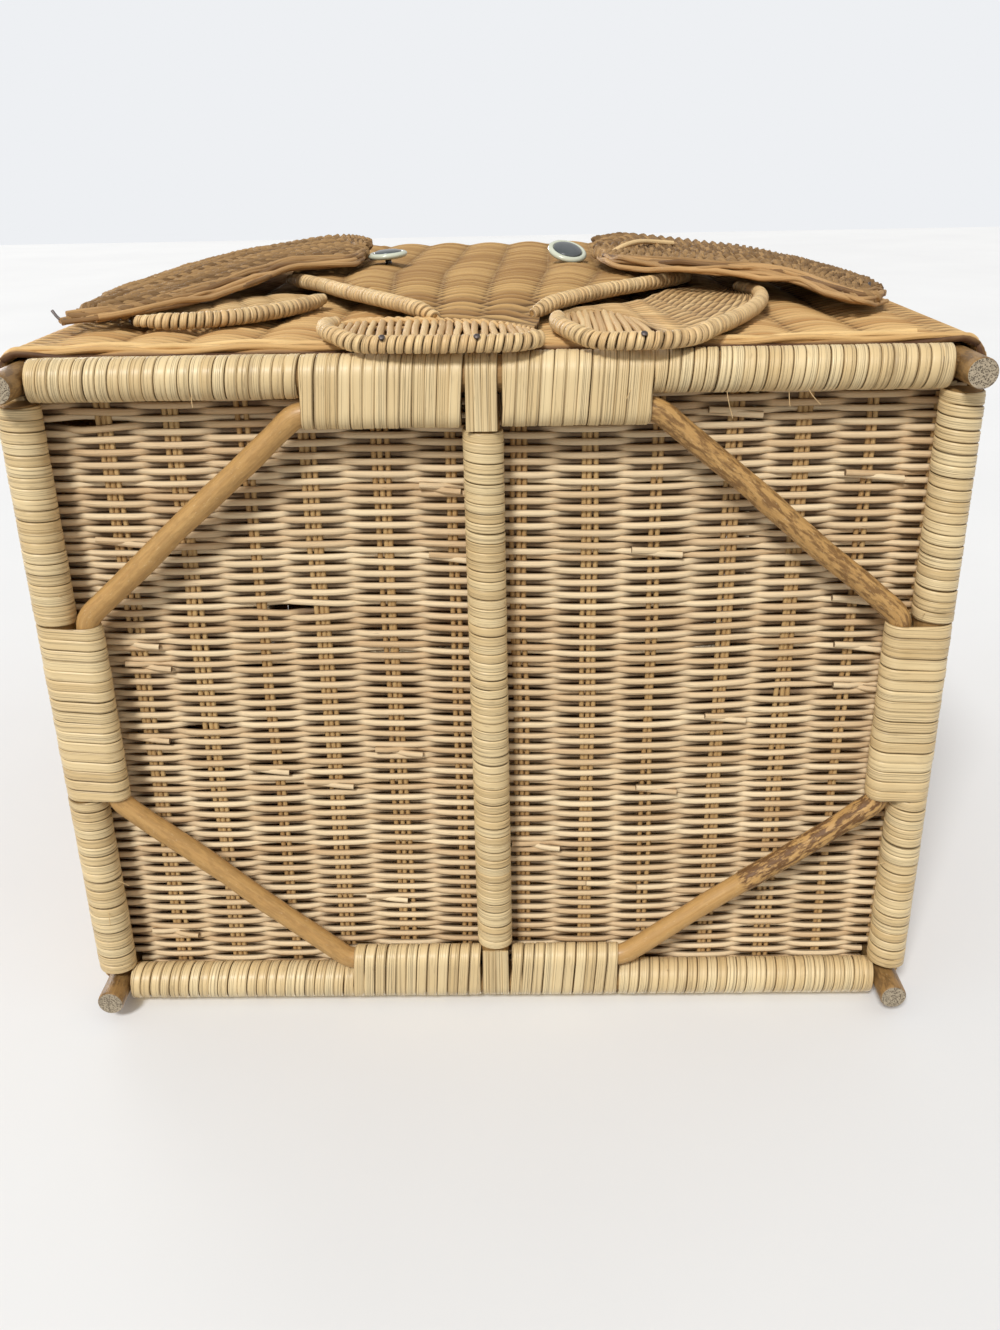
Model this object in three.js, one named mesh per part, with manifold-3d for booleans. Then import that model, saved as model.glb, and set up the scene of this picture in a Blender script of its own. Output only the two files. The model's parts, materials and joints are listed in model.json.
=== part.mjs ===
// A rectangular storage basket of wrapped cane and woven reed, with a hinged lid and the figure of
// an elephant's head on its front. Millimetres. X is to the right, Y to the back and Z up. The
// model is laid out round the middle of its four posts, and is centred over its footprint at the end.

import * as THREE from 'three';
import { mergeVertices } from 'three/addons/utils/BufferGeometryUtils.js';
import Module from 'manifold-3d';

const wasm = await Module();
wasm.setup();

// Fits
const gap = 0.3;              // between two pieces that touch
const seatGap = 0.6;          // between a woven panel and the rim laid along its edge
const hingeClearance = 0.5;   // round the rail that the lid turns on

// Frame
const postSpacingX = 415;
const postSpacingY = 324;
const postDiameter = 14;
const basketHeight = 510;     // floor to the top of the top rails
const railCaneDiameter = 16;
const bindingThickness = 1.45;
const railHeight = 20;        // floor to the middle of a bottom rail

// Corner braces under the bottom, and the lashings that hold their ends to the rails
const braceDiameter = 11;
const braceDrop = 3;          // a brace's middle below the middle of the rails
const braceBend = 5;          // length of bend on each side of a brace's corner
const braceEndRun = 34;       // length of brace under a lashing
const frontLashings = [[-81.2, -10.8], [6, 71.5]];
const rightLashings = [[-44.3, 50]];
const backLashings = [[-63, -6], [10.2, 78.4]];
const leftLashings = [[-45, 48.6]];

// Stretcher across the middle of the bottom
const stretcherX = -2.3;
const stretcherCaneDiameter = 15;
const stretcherBindingInset = 24;   // from a rail's middle to where the stretcher's binding starts
const tieWidth = 14;

// Woven panels
const bottomThickness = 6.4;
const wallThickness = 5;
const wallTuck = 1.1;         // how far a wall reaches down beside the round of a bottom rail
const mitreGapDegrees = 1;
const stakeSpacing = 15.4;    // about this far from one stake of a wall or the lid to the next
const bundleHeight = 15.4;    // and this far from one bundle of reed to the next
const weaveRelief = 1.8;      // from the crests of the bundles to their dips

// Lid
const lidCaneDiameter = 15;
const lidPanelThickness = 6;
const loopX = 112;            // middle of a hinge loop, left and right
const loopWidth = 12;
const loopThickness = 1.5;
const loopNotchMargin = 1.5;

// Figure on the front
const figureThickness = 5.5;
const footThickness = 3.4;
const earThickness = 5;
const rimDiameter = 8;
const eyeDiameter = 25;
const eyeThickness = 4;
const pupilDiameter = 16;
const pupilThickness = 1;
const eyeBackBevel = 2.5;     // how far the edges of an eye are turned in, and at what height it is widest
const eyeFrontBevel = 1.25;
const eyeWidestHeight = 1.8;
const eyeFrontHeight = 3.4;
const stemDiameter = 4;
const stemLength = 3.2;
const eyeHeight = 287;
const eyes = { left: { x: -67, tilt: 3 }, right: { x: 45, tilt: 24 } };
const headLift = 5.2;         // air between the head and the front wall
const headRimLift = 4.4;      // between the upper part of the head's rims and the wall
const rimLift = 0.7;          // and between the rims of the trunk and the feet and what lies behind them
const footLift = 0.5;
const earLift = 13;           // air between an ear and the wall where the ear crosses the head's rims
const earCrown = 3;

// Facets
const railSides = 16;
const postSides = 14;
const braceSides = 8;
const braceSteps = 36;
const rimSides = 8;
const rimStepsPerPoint = 3;
const eyeSides = 18;
const cornerSteps = 2;        // in half a corner of the walls
const tieSteps = 8;           // in the half turn of a tie
const lashingSteps = 7;       // in each round of a lashing
const loopSteps = 9;          // and of a hinge loop
const headSteps = 8;          // along each stretch of the head's sides and rims
const trunkSteps = 6;
const footSteps = 24;
const earSteps = 16;
const headColumns = 4;        // across a woven piece of the figure
const footColumns = 3;
const earColumns = 5;

// Worked out from the sizes above
const bindingRadius = railCaneDiameter / 2 + gap + bindingThickness;
const postRadius = postDiameter / 2;
const braceRadius = braceDiameter / 2;
const rimRadius = rimDiameter / 2;
const halfX = postSpacingX / 2;
const halfY = postSpacingY / 2;
const topRailHeight = basketHeight - bindingRadius;
const postTop = topRailHeight - bindingRadius - gap;
const braceInset = bindingRadius + gap + braceRadius;
const wallInner = postRadius + gap;
const wallOuter = wallInner + wallThickness;
const wallBottom = railHeight + bindingRadius - wallTuck;
const wallTop = topRailHeight - bindingRadius - gap;
const bottomPanelBase = railHeight + bindingRadius + gap;
const lidRailRadius = lidCaneDiameter / 2;
const lidHeight = basketHeight + gap + lidRailRadius;
const wallFace = halfY + wallOuter;
const railFace = halfY + bindingRadius;

function finish(color, roughness) {
  return new THREE.MeshStandardMaterial({ color, roughness, metalness: 0 });
}

const materials = {
  post: finish('#8d7752', 0.75),
  cane: finish('#b98f55', 0.45),
  binding: finish('#d9c08f', 0.5),
  reed: finish('#cfae82', 0.75),
  wall: finish('#c9a067', 0.7),
  figure: finish('#c0935a', 0.7),
  ear: finish('#94703f', 0.8),
  eyeWhite: finish('#e6e8da', 0.3),
  pupil: finish('#4b5250', 0.25),
};

function piece(name, geometry, material) {
  const mesh = new THREE.Mesh(geometry, material);
  mesh.name = name;
  return mesh;
}

// A solid round rod along X from one place to another.
function rodX(from, to, radius) {
  const rod = new THREE.CylinderGeometry(radius, radius, to - from, railSides);
  rod.rotateZ(-Math.PI / 2);
  rod.translate((from + to) / 2, 0, 0);
  return rod;
}

function arc(path, x, y, radius, from, to, steps) {
  for (let i = 0; i <= steps; i++) {
    const turn = from + (to - from) * (i / steps);
    path.push(new THREE.Vector2(x + radius * Math.cos(turn), y + radius * Math.sin(turn)));
  }
  return path;
}

function ring(radius, sides) {
  return arc([], 0, 0, radius, 0, 2 * Math.PI * (1 - 1 / sides), sides - 1);
}

// The outline drawn tight round two circles, the first one round the origin.
function roundTwo(firstRadius, place, secondRadius, steps) {
  const apart = Math.hypot(place.x, place.y);
  const heading = Math.atan2(place.y, place.x);
  const tangent = Math.acos((firstRadius - secondRadius) / apart);
  const outline = arc([], 0, 0, firstRadius, heading + tangent, heading + 2 * Math.PI - tangent, steps);
  return arc(outline, place.x, place.y, secondRadius, heading - tangent, heading + tangent, steps);
}

// A section in the Y-Z plane, with a hole if one is given, drawn out along X.
function drawnAlongX(outline, hole, from, to) {
  const section = new THREE.Shape(outline);
  if (hole) section.holes.push(new THREE.Path(hole));
  const solid = new THREE.ExtrudeGeometry(section, { depth: to - from, bevelEnabled: false });
  solid.applyMatrix4(new THREE.Matrix4().makeBasis(
    new THREE.Vector3(0, 1, 0), new THREE.Vector3(0, 0, 1), new THREE.Vector3(1, 0, 0)));
  solid.translate(from, 0, 0);
  return solid;
}

function drawnUp(outline, from, to) {
  const section = new THREE.Shape(outline);
  const solid = new THREE.ExtrudeGeometry(section, { depth: to - from, bevelEnabled: false });
  solid.translate(0, 0, from);
  return solid;
}

function sleeveX(from, to, innerRadius) {
  return drawnAlongX(ring(innerRadius + bindingThickness, railSides), ring(innerRadius, railSides), from, to);
}

function tube(path, radius, sides, steps) {
  const section = new THREE.Shape(ring(radius, sides));
  return new THREE.ExtrudeGeometry(section, { steps, extrudePath: path, bevelEnabled: false });
}

function toManifold(geometry) {
  const bare = geometry.clone();
  bare.deleteAttribute('normal');
  bare.deleteAttribute('uv');
  const merged = mergeVertices(bare, 1e-4);
  return new wasm.Manifold(new wasm.Mesh({
    numProp: 3,
    vertProperties: new Float32Array(merged.attributes.position.array),
    triVerts: new Uint32Array(merged.index.array),
  }));
}

function subtract(geometry, cutters) {
  let solid = toManifold(geometry);
  for (const cutter of cutters) solid = solid.subtract(toManifold(cutter));
  const mesh = solid.getMesh();
  const result = new THREE.BufferGeometry();
  result.setAttribute('position', new THREE.BufferAttribute(mesh.vertProperties, 3));
  result.setIndex(new THREE.BufferAttribute(mesh.triVerts, 1));
  return result;
}

// Each side of the basket has its own frame: X along the side, Y inwards, the origin between its two
// posts on the floor. The left and right of a side are as seen from outside.
const sides = {
  front: { turn: 0, halfSpan: halfX, offset: halfY, lashings: frontLashings },
  right: { turn: 1, halfSpan: halfY, offset: halfX, lashings: rightLashings },
  back: { turn: 2, halfSpan: halfX, offset: halfY, lashings: backLashings },
  left: { turn: 3, halfSpan: halfY, offset: halfX, lashings: leftLashings },
};

function sideFrame(side) {
  const frame = new THREE.Group();
  frame.rotation.z = side.turn * Math.PI / 2;
  frame.position.set(0, -side.offset, 0).applyAxisAngle(new THREE.Vector3(0, 0, 1), frame.rotation.z);
  return frame;
}

function posts() {
  const group = new THREE.Group();
  for (const [depth, y] of [['front', -halfY], ['back', halfY]]) {
    for (const [hand, x] of [['left', -halfX], ['right', halfX]]) {
      const cane = new THREE.CylinderGeometry(postRadius, postRadius, postTop, postSides);
      cane.rotateX(Math.PI / 2);
      const post = piece(`post_${depth}_${hand}`, cane, materials.post);
      post.position.set(x, y, postTop / 2);
      group.add(post);
    }
  }
  return group;
}

const lashingNames = {
  front: ['front_left', 'front_right'],
  right: ['right'],
  back: ['back_right', 'back_left'],
  left: ['left'],
};
const bindingNames = {
  front: ['front_left', 'front_right'],
  right: ['right_front', 'right_back'],
  back: ['back_right', 'back_left'],
  left: ['left_back', 'left_front'],
};

// One bottom rail: a bare cane bound at both ends, with a wide lashing wherever the ends of the braces
// lie against it. The front and back rails run from post to post, and the others fit between them.
function bottomRail(name, side) {
  const frame = sideFrame(side);
  frame.position.z = railHeight;
  const long = name === 'front' || name === 'back';
  const reach = side.halfSpan - (long ? postRadius : bindingRadius) - gap;
  const caneRadius = railCaneDiameter / 2;
  frame.add(piece(`bottom_rail_${name}`, rodX(-reach, reach, caneRadius), materials.cane));

  const first = side.lashings[0][0] - gap;
  const last = side.lashings[side.lashings.length - 1][1] + gap;
  [[-reach, first], [last, reach]].forEach(([from, to], i) => {
    const sleeve = sleeveX(from, to, caneRadius + gap);
    frame.add(piece(`binding_${bindingNames[name][i]}`, sleeve, materials.binding));
  });

  const brace = { x: braceInset, y: -braceDrop };
  side.lashings.forEach(([from, to], i) => {
    const outline = roundTwo(bindingRadius, brace, braceRadius + gap + bindingThickness, lashingSteps);
    const hole = roundTwo(caneRadius + gap, brace, braceRadius + gap, lashingSteps);
    const lashing = drawnAlongX(outline, hole, from, to);
    frame.add(piece(`lashing_${lashingNames[name][i]}`, lashing, materials.binding));
  });
  return frame;
}

// The straight-bend-straight-bend-straight line of a brace, from under one lashing to under the next.
class BracePath extends THREE.CurvePath {
  constructor(corners, bend) {
    super();
    let from = corners[0];
    for (let i = 1; i < corners.length - 1; i++) {
      const before = corners[i].clone().lerp(corners[i - 1], bend / corners[i].distanceTo(corners[i - 1]));
      const after = corners[i].clone().lerp(corners[i + 1], bend / corners[i].distanceTo(corners[i + 1]));
      this.add(new THREE.LineCurve3(from, before));
      this.add(new THREE.QuadraticBezierCurve3(before, corners[i], after));
      from = after;
    }
    this.add(new THREE.LineCurve3(from, corners[corners.length - 1]));
  }
}

// A brace across one corner. The two ends of a lashing say where its bends come.
function brace(name, signX, signY, lashingEndX, lashingEndY) {
  const x = halfX - braceInset;
  const y = halfY - braceInset;
  const bendX = lashingEndX + gap + braceBend;
  const bendY = lashingEndY + gap + braceBend;
  const corners = [
    [bendX - braceBend - braceEndRun, y],
    [bendX, y],
    [x, bendY],
    [x, bendY - braceBend - braceEndRun],
  ].map(([across, along]) => new THREE.Vector3(signX * across, signY * along, railHeight - braceDrop));
  const path = new BracePath(corners, braceBend);
  return piece(`brace_${name}`, tube(path, braceRadius, braceSides, braceSteps), materials.cane);
}

function braces() {
  const group = new THREE.Group();
  group.add(
    brace('front_left', -1, -1, -frontLashings[0][0], leftLashings[0][1]),
    brace('front_right', 1, -1, frontLashings[1][1], -rightLashings[0][0]),
    brace('back_left', -1, 1, backLashings[1][1], -leftLashings[0][0]),
    brace('back_right', 1, 1, -backLashings[0][0], rightLashings[0][1]),
  );
  return group;
}

// The stretcher lies front to back between the rails. A flat tie goes round each rail and along the
// stretcher's end, and the binding starts where the ties stop.
function stretcher() {
  const group = new THREE.Group();
  const along = new THREE.Group();
  along.position.set(stretcherX, 0, railHeight);
  along.rotation.z = Math.PI / 2;
  const reach = halfY - railCaneDiameter / 2 - gap;
  const bound = halfY - stretcherBindingInset;
  const caneRadius = stretcherCaneDiameter / 2;
  along.add(
    piece('stretcher', rodX(-reach, reach, caneRadius), materials.cane),
    piece('stretcher_binding', sleeveX(-bound, bound, caneRadius + gap), materials.binding),
  );
  group.add(along);

  const inner = railCaneDiameter / 2 + gap;
  const end = stretcherBindingInset - gap;
  const tieOutline = arc([], 0, 0, bindingRadius, Math.PI / 2, 3 * Math.PI / 2, tieSteps);
  tieOutline.push(new THREE.Vector2(end, -bindingRadius), new THREE.Vector2(end, -inner));
  arc(tieOutline, 0, 0, inner, 3 * Math.PI / 2, Math.PI / 2, tieSteps);
  tieOutline.push(new THREE.Vector2(end, inner), new THREE.Vector2(end, bindingRadius));
  for (const name of ['front', 'back']) {
    const frame = sideFrame(sides[name]);
    const middle = name === 'front' ? stretcherX : -stretcherX;
    const strip = drawnAlongX(tieOutline, null, middle - tieWidth / 2, middle + tieWidth / 2);
    frame.position.z = railHeight;
    frame.add(piece(`stretcher_tie_${name}`, strip, materials.binding));
    group.add(frame);
  }
  return group;
}

// The bottom lies on the rails, reaches the walls and is notched round the posts.
function bottomPanel() {
  const x = halfX + wallInner - gap;
  const y = halfY + wallInner - gap;
  const notchX = halfX - postRadius - gap;
  const notchY = halfY - postRadius - gap;
  const quarter = [[x, notchY], [notchX, notchY], [notchX, y]];
  const outline = [
    ...quarter,
    ...quarter.map(([a, b]) => [-a, b]).reverse(),
    ...quarter.map(([a, b]) => [-a, -b]),
    ...quarter.map(([a, b]) => [a, -b]).reverse(),
  ].map(([a, b]) => new THREE.Vector2(a, b));
  const plate = drawnUp(outline, bottomPanelBase, bottomPanelBase + bottomThickness);
  return piece('bottom_panel', plate, materials.reed);
}

// How far down a woven face lies, from 0 on a crest to 1 in a dip, at so many stakes along it and so
// many bundles up it. Below the first bundle and above the last it lies halfway.
function weaveDip(stake, bundle, bundles) {
  if (bundle < 0 || bundle === bundles) return 0.5;
  return 1 - Math.abs(1 - (stake + bundle) % 2);
}

// A closed woven plate with a plain back. Each bundle of reed swells over one stake and dips behind the
// next, and the bundle above it does so a stake further on. Every column of points has its place
// in stakes, and at(column, share, depth) gives a point of that column, that share of the way up and
// that deep behind the crests.
function wovenPlate(stakes, bundles, thickness, at) {
  const positions = [];
  const profile = [];
  const addRow = (share, depthOf) => stakes.forEach((stake, column) => {
    const depth = depthOf(stake);
    positions.push(...at(column, share, depth));
    profile.push(new THREE.Vector2(depth, share));
  });
  for (let bundle = -1; bundle <= bundles; bundle++) {
    const share = THREE.MathUtils.clamp((bundle + 0.5) / bundles, 0, 1);
    addRow(share, stake => weaveRelief * weaveDip(stake, bundle, bundles));
  }
  for (const share of [0, 1]) addRow(share, () => thickness);

  const index = [];
  const quad = (a, b, c, d) => index.push(a, b, c, a, c, d);
  const across = stakes.length;
  const rows = bundles + 2;
  const top = (rows - 1) * across;
  const back = rows * across;
  for (let i = 0; i < rows - 1; i++) {
    for (let j = 0; j < across - 1; j++) {
      const [a, b, c, d] = [0, 1, across + 1, across].map(step => i * across + j + step);
      // Each square is split between its higher corners, so the bundles stay full and the dips narrow.
      if (profile[a].x + profile[c].x < profile[b].x + profile[d].x) quad(a, b, c, d);
      else quad(b, c, d, a);
    }
  }
  for (let j = 0; j < across - 1; j++) {
    quad(back + j, back + j + 1, j + 1, j);
    quad(top + j, top + j + 1, back + across + j + 1, back + across + j);
    quad(back + j + 1, back + j, back + across + j, back + across + j + 1);
  }
  for (const column of [0, across - 1]) {
    const ids = Array.from({ length: rows }, (_, i) => i * across + column);
    ids.push(back + across + column, back + column);
    for (const corners of THREE.ShapeUtils.triangulateShape(ids.map(id => profile[id]), [])) {
      const [a, b, c] = corners.map(corner => ids[corner]);
      if (column === 0) index.push(c, b, a);
      else index.push(a, b, c);
    }
  }
  const geometry = new THREE.BufferGeometry();
  geometry.setAttribute('position', new THREE.Float32BufferAttribute(positions, 3));
  geometry.setIndex(index);
  return geometry;
}

// A wall is flat between its posts and turns half the corner round each of them, where it takes up
// half the space of a stake.
function wall(name, side) {
  const corner = Math.PI / 4 - THREE.MathUtils.degToRad(mitreGapDegrees);
  const span = 2 * side.halfSpan;
  const flatStakes = 2 * Math.floor(span / (2 * stakeSpacing)) + 1;
  const columns = [];
  for (let k = 0; k <= cornerSteps; k++) {
    const share = k / cornerSteps;
    columns.push({ stake: share / 2, x: -side.halfSpan, turn: corner * (share - 1) });
  }
  for (let stake = 1; stake <= flatStakes; stake++) {
    columns.push({ stake, x: -side.halfSpan + (stake - 0.5) * span / flatStakes, turn: 0 });
  }
  for (let k = 0; k <= cornerSteps; k++) {
    const share = k / cornerSteps;
    columns.push({ stake: flatStakes + 0.5 + share / 2, x: side.halfSpan, turn: corner * share });
  }
  const bundles = Math.round((wallTop - wallBottom) / bundleHeight);
  let panel = wovenPlate(columns.map(column => column.stake), bundles, wallThickness, (column, share, depth) => {
    const { x, turn } = columns[column];
    const radius = wallOuter - depth;
    const height = THREE.MathUtils.lerp(wallBottom, wallTop, share);
    return [x + radius * Math.sin(turn), -radius * Math.cos(turn), height];
  });
  if (name === 'back') {
    const width = loopWidth + 2 * loopNotchMargin;
    const depth = loopThickness + hingeClearance + loopNotchMargin;
    panel = subtract(panel, [-loopX, loopX].map(x => {
      const notch = new THREE.BoxGeometry(width, 4 * wallOuter, 2 * depth);
      return notch.translate(x, 0, wallTop);
    }));
  }
  const frame = sideFrame(side);
  frame.add(piece(`wall_${name}`, panel, materials.wall));
  return frame;
}

// The front and back rails of a square frame run over the corners, and the side rails fit between them.
function railFrame(prefix, radius, height, material) {
  const group = new THREE.Group();
  for (const [name, side] of Object.entries(sides)) {
    const long = name === 'front' || name === 'back';
    const reach = long ? side.halfSpan + radius : side.halfSpan - radius - gap;
    const frame = sideFrame(side);
    frame.position.z = height;
    frame.add(piece(`${prefix}_${name}`, rodX(-reach, reach, radius), material));
    group.add(frame);
  }
  return group;
}

// The loops are tight round the lid's back rail and run free round the basket's.
function hingeLoops() {
  const frame = sideFrame(sides.back);
  frame.position.z = topRailHeight;
  const lidRail = { x: 0, y: lidHeight - topRailHeight };
  const loose = bindingRadius + hingeClearance;
  const tight = lidRailRadius + gap;
  const outline = roundTwo(loose + loopThickness, lidRail, tight + loopThickness, loopSteps);
  const hole = roundTwo(loose, lidRail, tight, loopSteps);
  for (const [name, x] of [['left', loopX], ['right', -loopX]]) {
    const loop = drawnAlongX(outline, hole, x - loopWidth / 2, x + loopWidth / 2);
    frame.add(piece(`hinge_loop_${name}`, loop, materials.binding));
  }
  return frame;
}

function lid() {
  const group = new THREE.Group();
  const width = 2 * (halfX - lidRailRadius - gap);
  const depth = 2 * (halfY - lidRailRadius - gap);
  const notchWidth = loopWidth + 2 * loopNotchMargin;
  const notchDepth = loopThickness + loopNotchMargin;
  const notches = [-loopX, loopX].map(x => {
    const notch = new THREE.BoxGeometry(notchWidth, 2 * notchDepth, 2 * lidPanelThickness);
    return notch.translate(x, depth / 2, 0);
  });
  const spaces = 2 * Math.round(width / (2 * stakeSpacing));
  const stakes = Array.from({ length: spaces + 1 }, (_, i) => i);
  const bundles = Math.round(depth / bundleHeight);
  const woven = wovenPlate(stakes, bundles, lidPanelThickness, (column, share, deep) => [
    width * (column / spaces - 0.5), depth * (share - 0.5), lidPanelThickness / 2 - deep]);
  const plate = subtract(woven, notches);
  plate.translate(0, 0, lidHeight);
  group.add(
    railFrame('lid_rail', lidRailRadius, lidHeight, materials.binding),
    piece('lid_panel', plate, materials.wall),
    hingeLoops(),
  );
  return group;
}

// The figure's points are [x, height, clear]. The height is measured from the middle of the bottom
// rails, and clear is the air between the piece and what lies behind it: the front wall, or the bottom
// rail below the wall. The points that a rim follows are its own middle line.
const headRimLeft = [[-120, 208, headRimLift], [-97, 174, headRimLift], [-79, 140, 4.2], [-56, 102, 4],
  [-33, 68, 3.6]];
const headRimRight = [[112, 182, headRimLift], [81, 146, headRimLift], [58, 119, 4.2], [41, 93, 4],
  [28, 73, 3.6]];
const trunkRim = [[-73, 30, rimLift], [-71, 15, rimLift], [-65, 3, rimLift], [-54, -6.5, rimLift],
  [-32, -11, rimLift], [-6, -11.5, rimLift], [14, -10, rimLift], [22.5, -1, rimLift]];
const footRimLeft = [[-168, 59, rimLift], [-148, 56, rimLift], [-129, 63, rimLift], [-112, 80, rimLift],
  [-97, 110, rimLift], [-90, 138, rimLift]];
const footRimRight = [[33, 52, rimLift], [32, 30, rimLift], [34, 14, rimLift], [38.5, 2, rimLift],
  [47, -7.5, rimLift], [60, -11, rimLift], [76, -10.5, rimLift], [89, -3, rimLift], [100, 9, rimLift],
  [111, 30, rimLift], [127, 68, rimLift], [138, 106, rimLift], [142, 140, rimLift], [136, 164, rimLift]];
const headSideLeft = [[-66, 450, headLift], [-100, 432, headLift], [-119, 385, headLift],
  [-127, 325, headLift], [-128, 265, headLift]];
const headSideRight = [[58, 450, headLift], [92, 432, headLift], [111, 385, headLift],
  [119, 325, headLift], [121, 255, headLift]];
const trunkSideLeft = [-31, 50, 3.2];
const trunkSideRight = [27, 56, 3.2];
const footInnerLeft = [[-178, 76], [-164, 108], [-146, 138], [-128, 158], [-112, 166], [-98, 152]];
const footInnerRight = [[38.5, 54], [46, 62], [58, 72], [72, 86], [82, 108], [90, 132], [101, 156],
  [118, 174]];
const earBorderLeft = [[-201, 52, 3], [-171, 71, 4.6], [-153, 95, 6], [-138, 126, 8], [-125, 156, 11],
  [-115, 180, earLift], [-98, 199, earLift + 0.3], [-83, 218, earLift + 0.6], [-81, 255, earLift + 1]];
const earEdgeLeft = [[-207, 64, 2.5], [-210, 112, 2.8], [-208, 160, 3.8], [-201, 214, 5.4], [-189, 264, 7.4],
  [-172, 312, 10.2], [-147, 350, earLift], [-114, 372, earLift + 3.5], [-85, 330, earLift + 4]];
const earBorderRight = [[199, 96, 3], [178, 66, 4.5], [167, 86, 6], [158, 114, 8.6], [141, 129, 11],
  [108, 132, earLift], [86, 154, earLift + 0.2], [68, 182, earLift + 0.5], [63, 236, earLift + 1]];
const earEdgeRight = [[204, 108, 2.4], [205, 142, 2.6], [201, 178, 3.4], [194, 218, 4.8], [181, 266, 6.6],
  [159, 308, 9.4], [128, 334, 12], [94, 346, earLift + 2.8], [66, 314, earLift + 4]];

function place([x, height, clear], thickness) {
  const wallShare = THREE.MathUtils.clamp((height + rimRadius) / (wallBottom - railHeight), 0, 1);
  const face = THREE.MathUtils.lerp(railFace, wallFace, wallShare);
  return new THREE.Vector3(x, -(face + clear + thickness / 2), railHeight + height);
}

function sampled(points, thickness, steps) {
  const curve = new THREE.CatmullRomCurve3(points.map(point => place(point, thickness)));
  return Array.from({ length: steps + 1 }, (_, i) => curve.getPoint(i / steps));
}

// The same line moved sideways across the front, to the left of its own direction when positive.
function movedAcross(line, distance) {
  return line.map((point, i) => {
    const before = line[Math.max(i - 1, 0)];
    const after = line[Math.min(i + 1, line.length - 1)];
    const heading = after.clone().sub(before);
    heading.y = 0;
    heading.normalize();
    return new THREE.Vector3(point.x - heading.z * distance, point.y, point.z + heading.x * distance);
  });
}

// A woven panel between two lines with as many points each, crowned towards the front. Seen from
// the front, the second line lies to the left of the way that the first one runs.
function panelBetween(first, second, columns, thickness, crown) {
  const rows = first.length;
  const across = columns + 1;
  const positions = [];
  for (const half of [-thickness / 2, thickness / 2]) {
    for (let i = 0; i < rows; i++) {
      for (let j = 0; j <= columns; j++) {
        const point = first[i].clone().lerp(second[i], j / columns);
        const rise = crown * Math.sin(Math.PI * i / (rows - 1)) * Math.sin(Math.PI * j / columns);
        positions.push(point.x, point.y - rise + half, point.z);
      }
    }
  }
  const index = [];
  const quad = (a, b, c, d) => index.push(a, b, c, a, c, d);
  const back = rows * across;
  for (let i = 0; i < rows - 1; i++) {
    for (let j = 0; j < columns; j++) {
      const a = i * across + j;
      quad(a, a + across, a + across + 1, a + 1);
      quad(back + a, back + a + 1, back + a + across + 1, back + a + across);
    }
    const start = i * across;
    const end = start + columns;
    quad(start, back + start, back + start + across, start + across);
    quad(end, end + across, back + end + across, back + end);
  }
  for (let j = 0; j < columns; j++) {
    const last = (rows - 1) * across + j;
    quad(j, j + 1, back + j + 1, back + j);
    quad(last, back + last, back + last + 1, last + 1);
  }
  const geometry = new THREE.BufferGeometry();
  geometry.setAttribute('position', new THREE.Float32BufferAttribute(positions, 3));
  geometry.setIndex(index);
  return geometry;
}

function rim(name, points) {
  const steps = rimStepsPerPoint * (points.length - 1);
  const path = new THREE.CatmullRomCurve3(points.map(point => place(point, rimDiameter)));
  return piece(name, tube(path, rimRadius, rimSides, steps), materials.figure);
}

// The same line, brought forward wherever a piece along it would lie nearer to the wall than the lift.
function keptOff(line, lift, thickness) {
  const nearest = -(wallFace + lift + thickness / 2);
  return line.map(point => new THREE.Vector3(point.x, Math.min(point.y, nearest), point.z));
}

// A rim's line as the edge of the woven piece beside it.
function beside(points, side, lift, thickness, steps) {
  const line = movedAcross(sampled(points, thickness, steps), side * (rimRadius + seatGap));
  return keptOff(line, lift, thickness);
}

function head() {
  const group = new THREE.Group();
  const trunkTurn = 3;   // the point of the trunk's rim where its left part ends and its right part starts
  const along = (points, side, steps) => beside(points, side, rimLift, figureThickness, steps);
  const left = [
    ...sampled(headSideLeft, figureThickness, headSteps),
    ...along(headRimLeft, 1, headSteps),
    place(trunkSideLeft, figureThickness),
    ...along(trunkRim.slice(0, trunkTurn + 1), 1, trunkSteps),
  ];
  const right = [
    ...sampled(headSideRight, figureThickness, headSteps),
    ...along(headRimRight, -1, headSteps),
    place(trunkSideRight, figureThickness),
    ...along(trunkRim.slice(trunkTurn).reverse(), -1, trunkSteps),
  ];
  group.add(
    piece('head_panel', panelBetween(left, right, headColumns, figureThickness, 0), materials.figure),
    rim('head_rim_left', headRimLeft),
    rim('head_rim_right', headRimRight),
    rim('trunk_rim', trunkRim),
  );
  return group;
}

function feet() {
  const group = new THREE.Group();
  const onWall = points => points.map(([x, height]) => [x, height, footLift]);
  const shape = (edge, top) => panelBetween(edge, top, footColumns, footThickness, 0);
  for (const [name, inner, outer] of [
    ['left', footInnerLeft, footRimLeft],
    ['right', footInnerRight, footRimRight],
  ]) {
    const edge = beside(onWall(outer), 1, footLift, footThickness, footSteps);
    const top = sampled(onWall(inner), footThickness, footSteps);
    group.add(piece(`foot_panel_${name}`, shape(edge, top), materials.figure), rim(`foot_rim_${name}`, outer));
  }
  return group;
}

function ears() {
  const group = new THREE.Group();
  const edge = points => sampled(points, earThickness, earSteps);
  const shape = (low, high) => panelBetween(edge(low), edge(high), earColumns, earThickness, earCrown);
  group.add(
    piece('ear_left', shape(earBorderLeft, earEdgeLeft), materials.ear),
    piece('ear_right', shape(earEdgeRight, earBorderRight), materials.ear),
  );
  return group;
}

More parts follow.
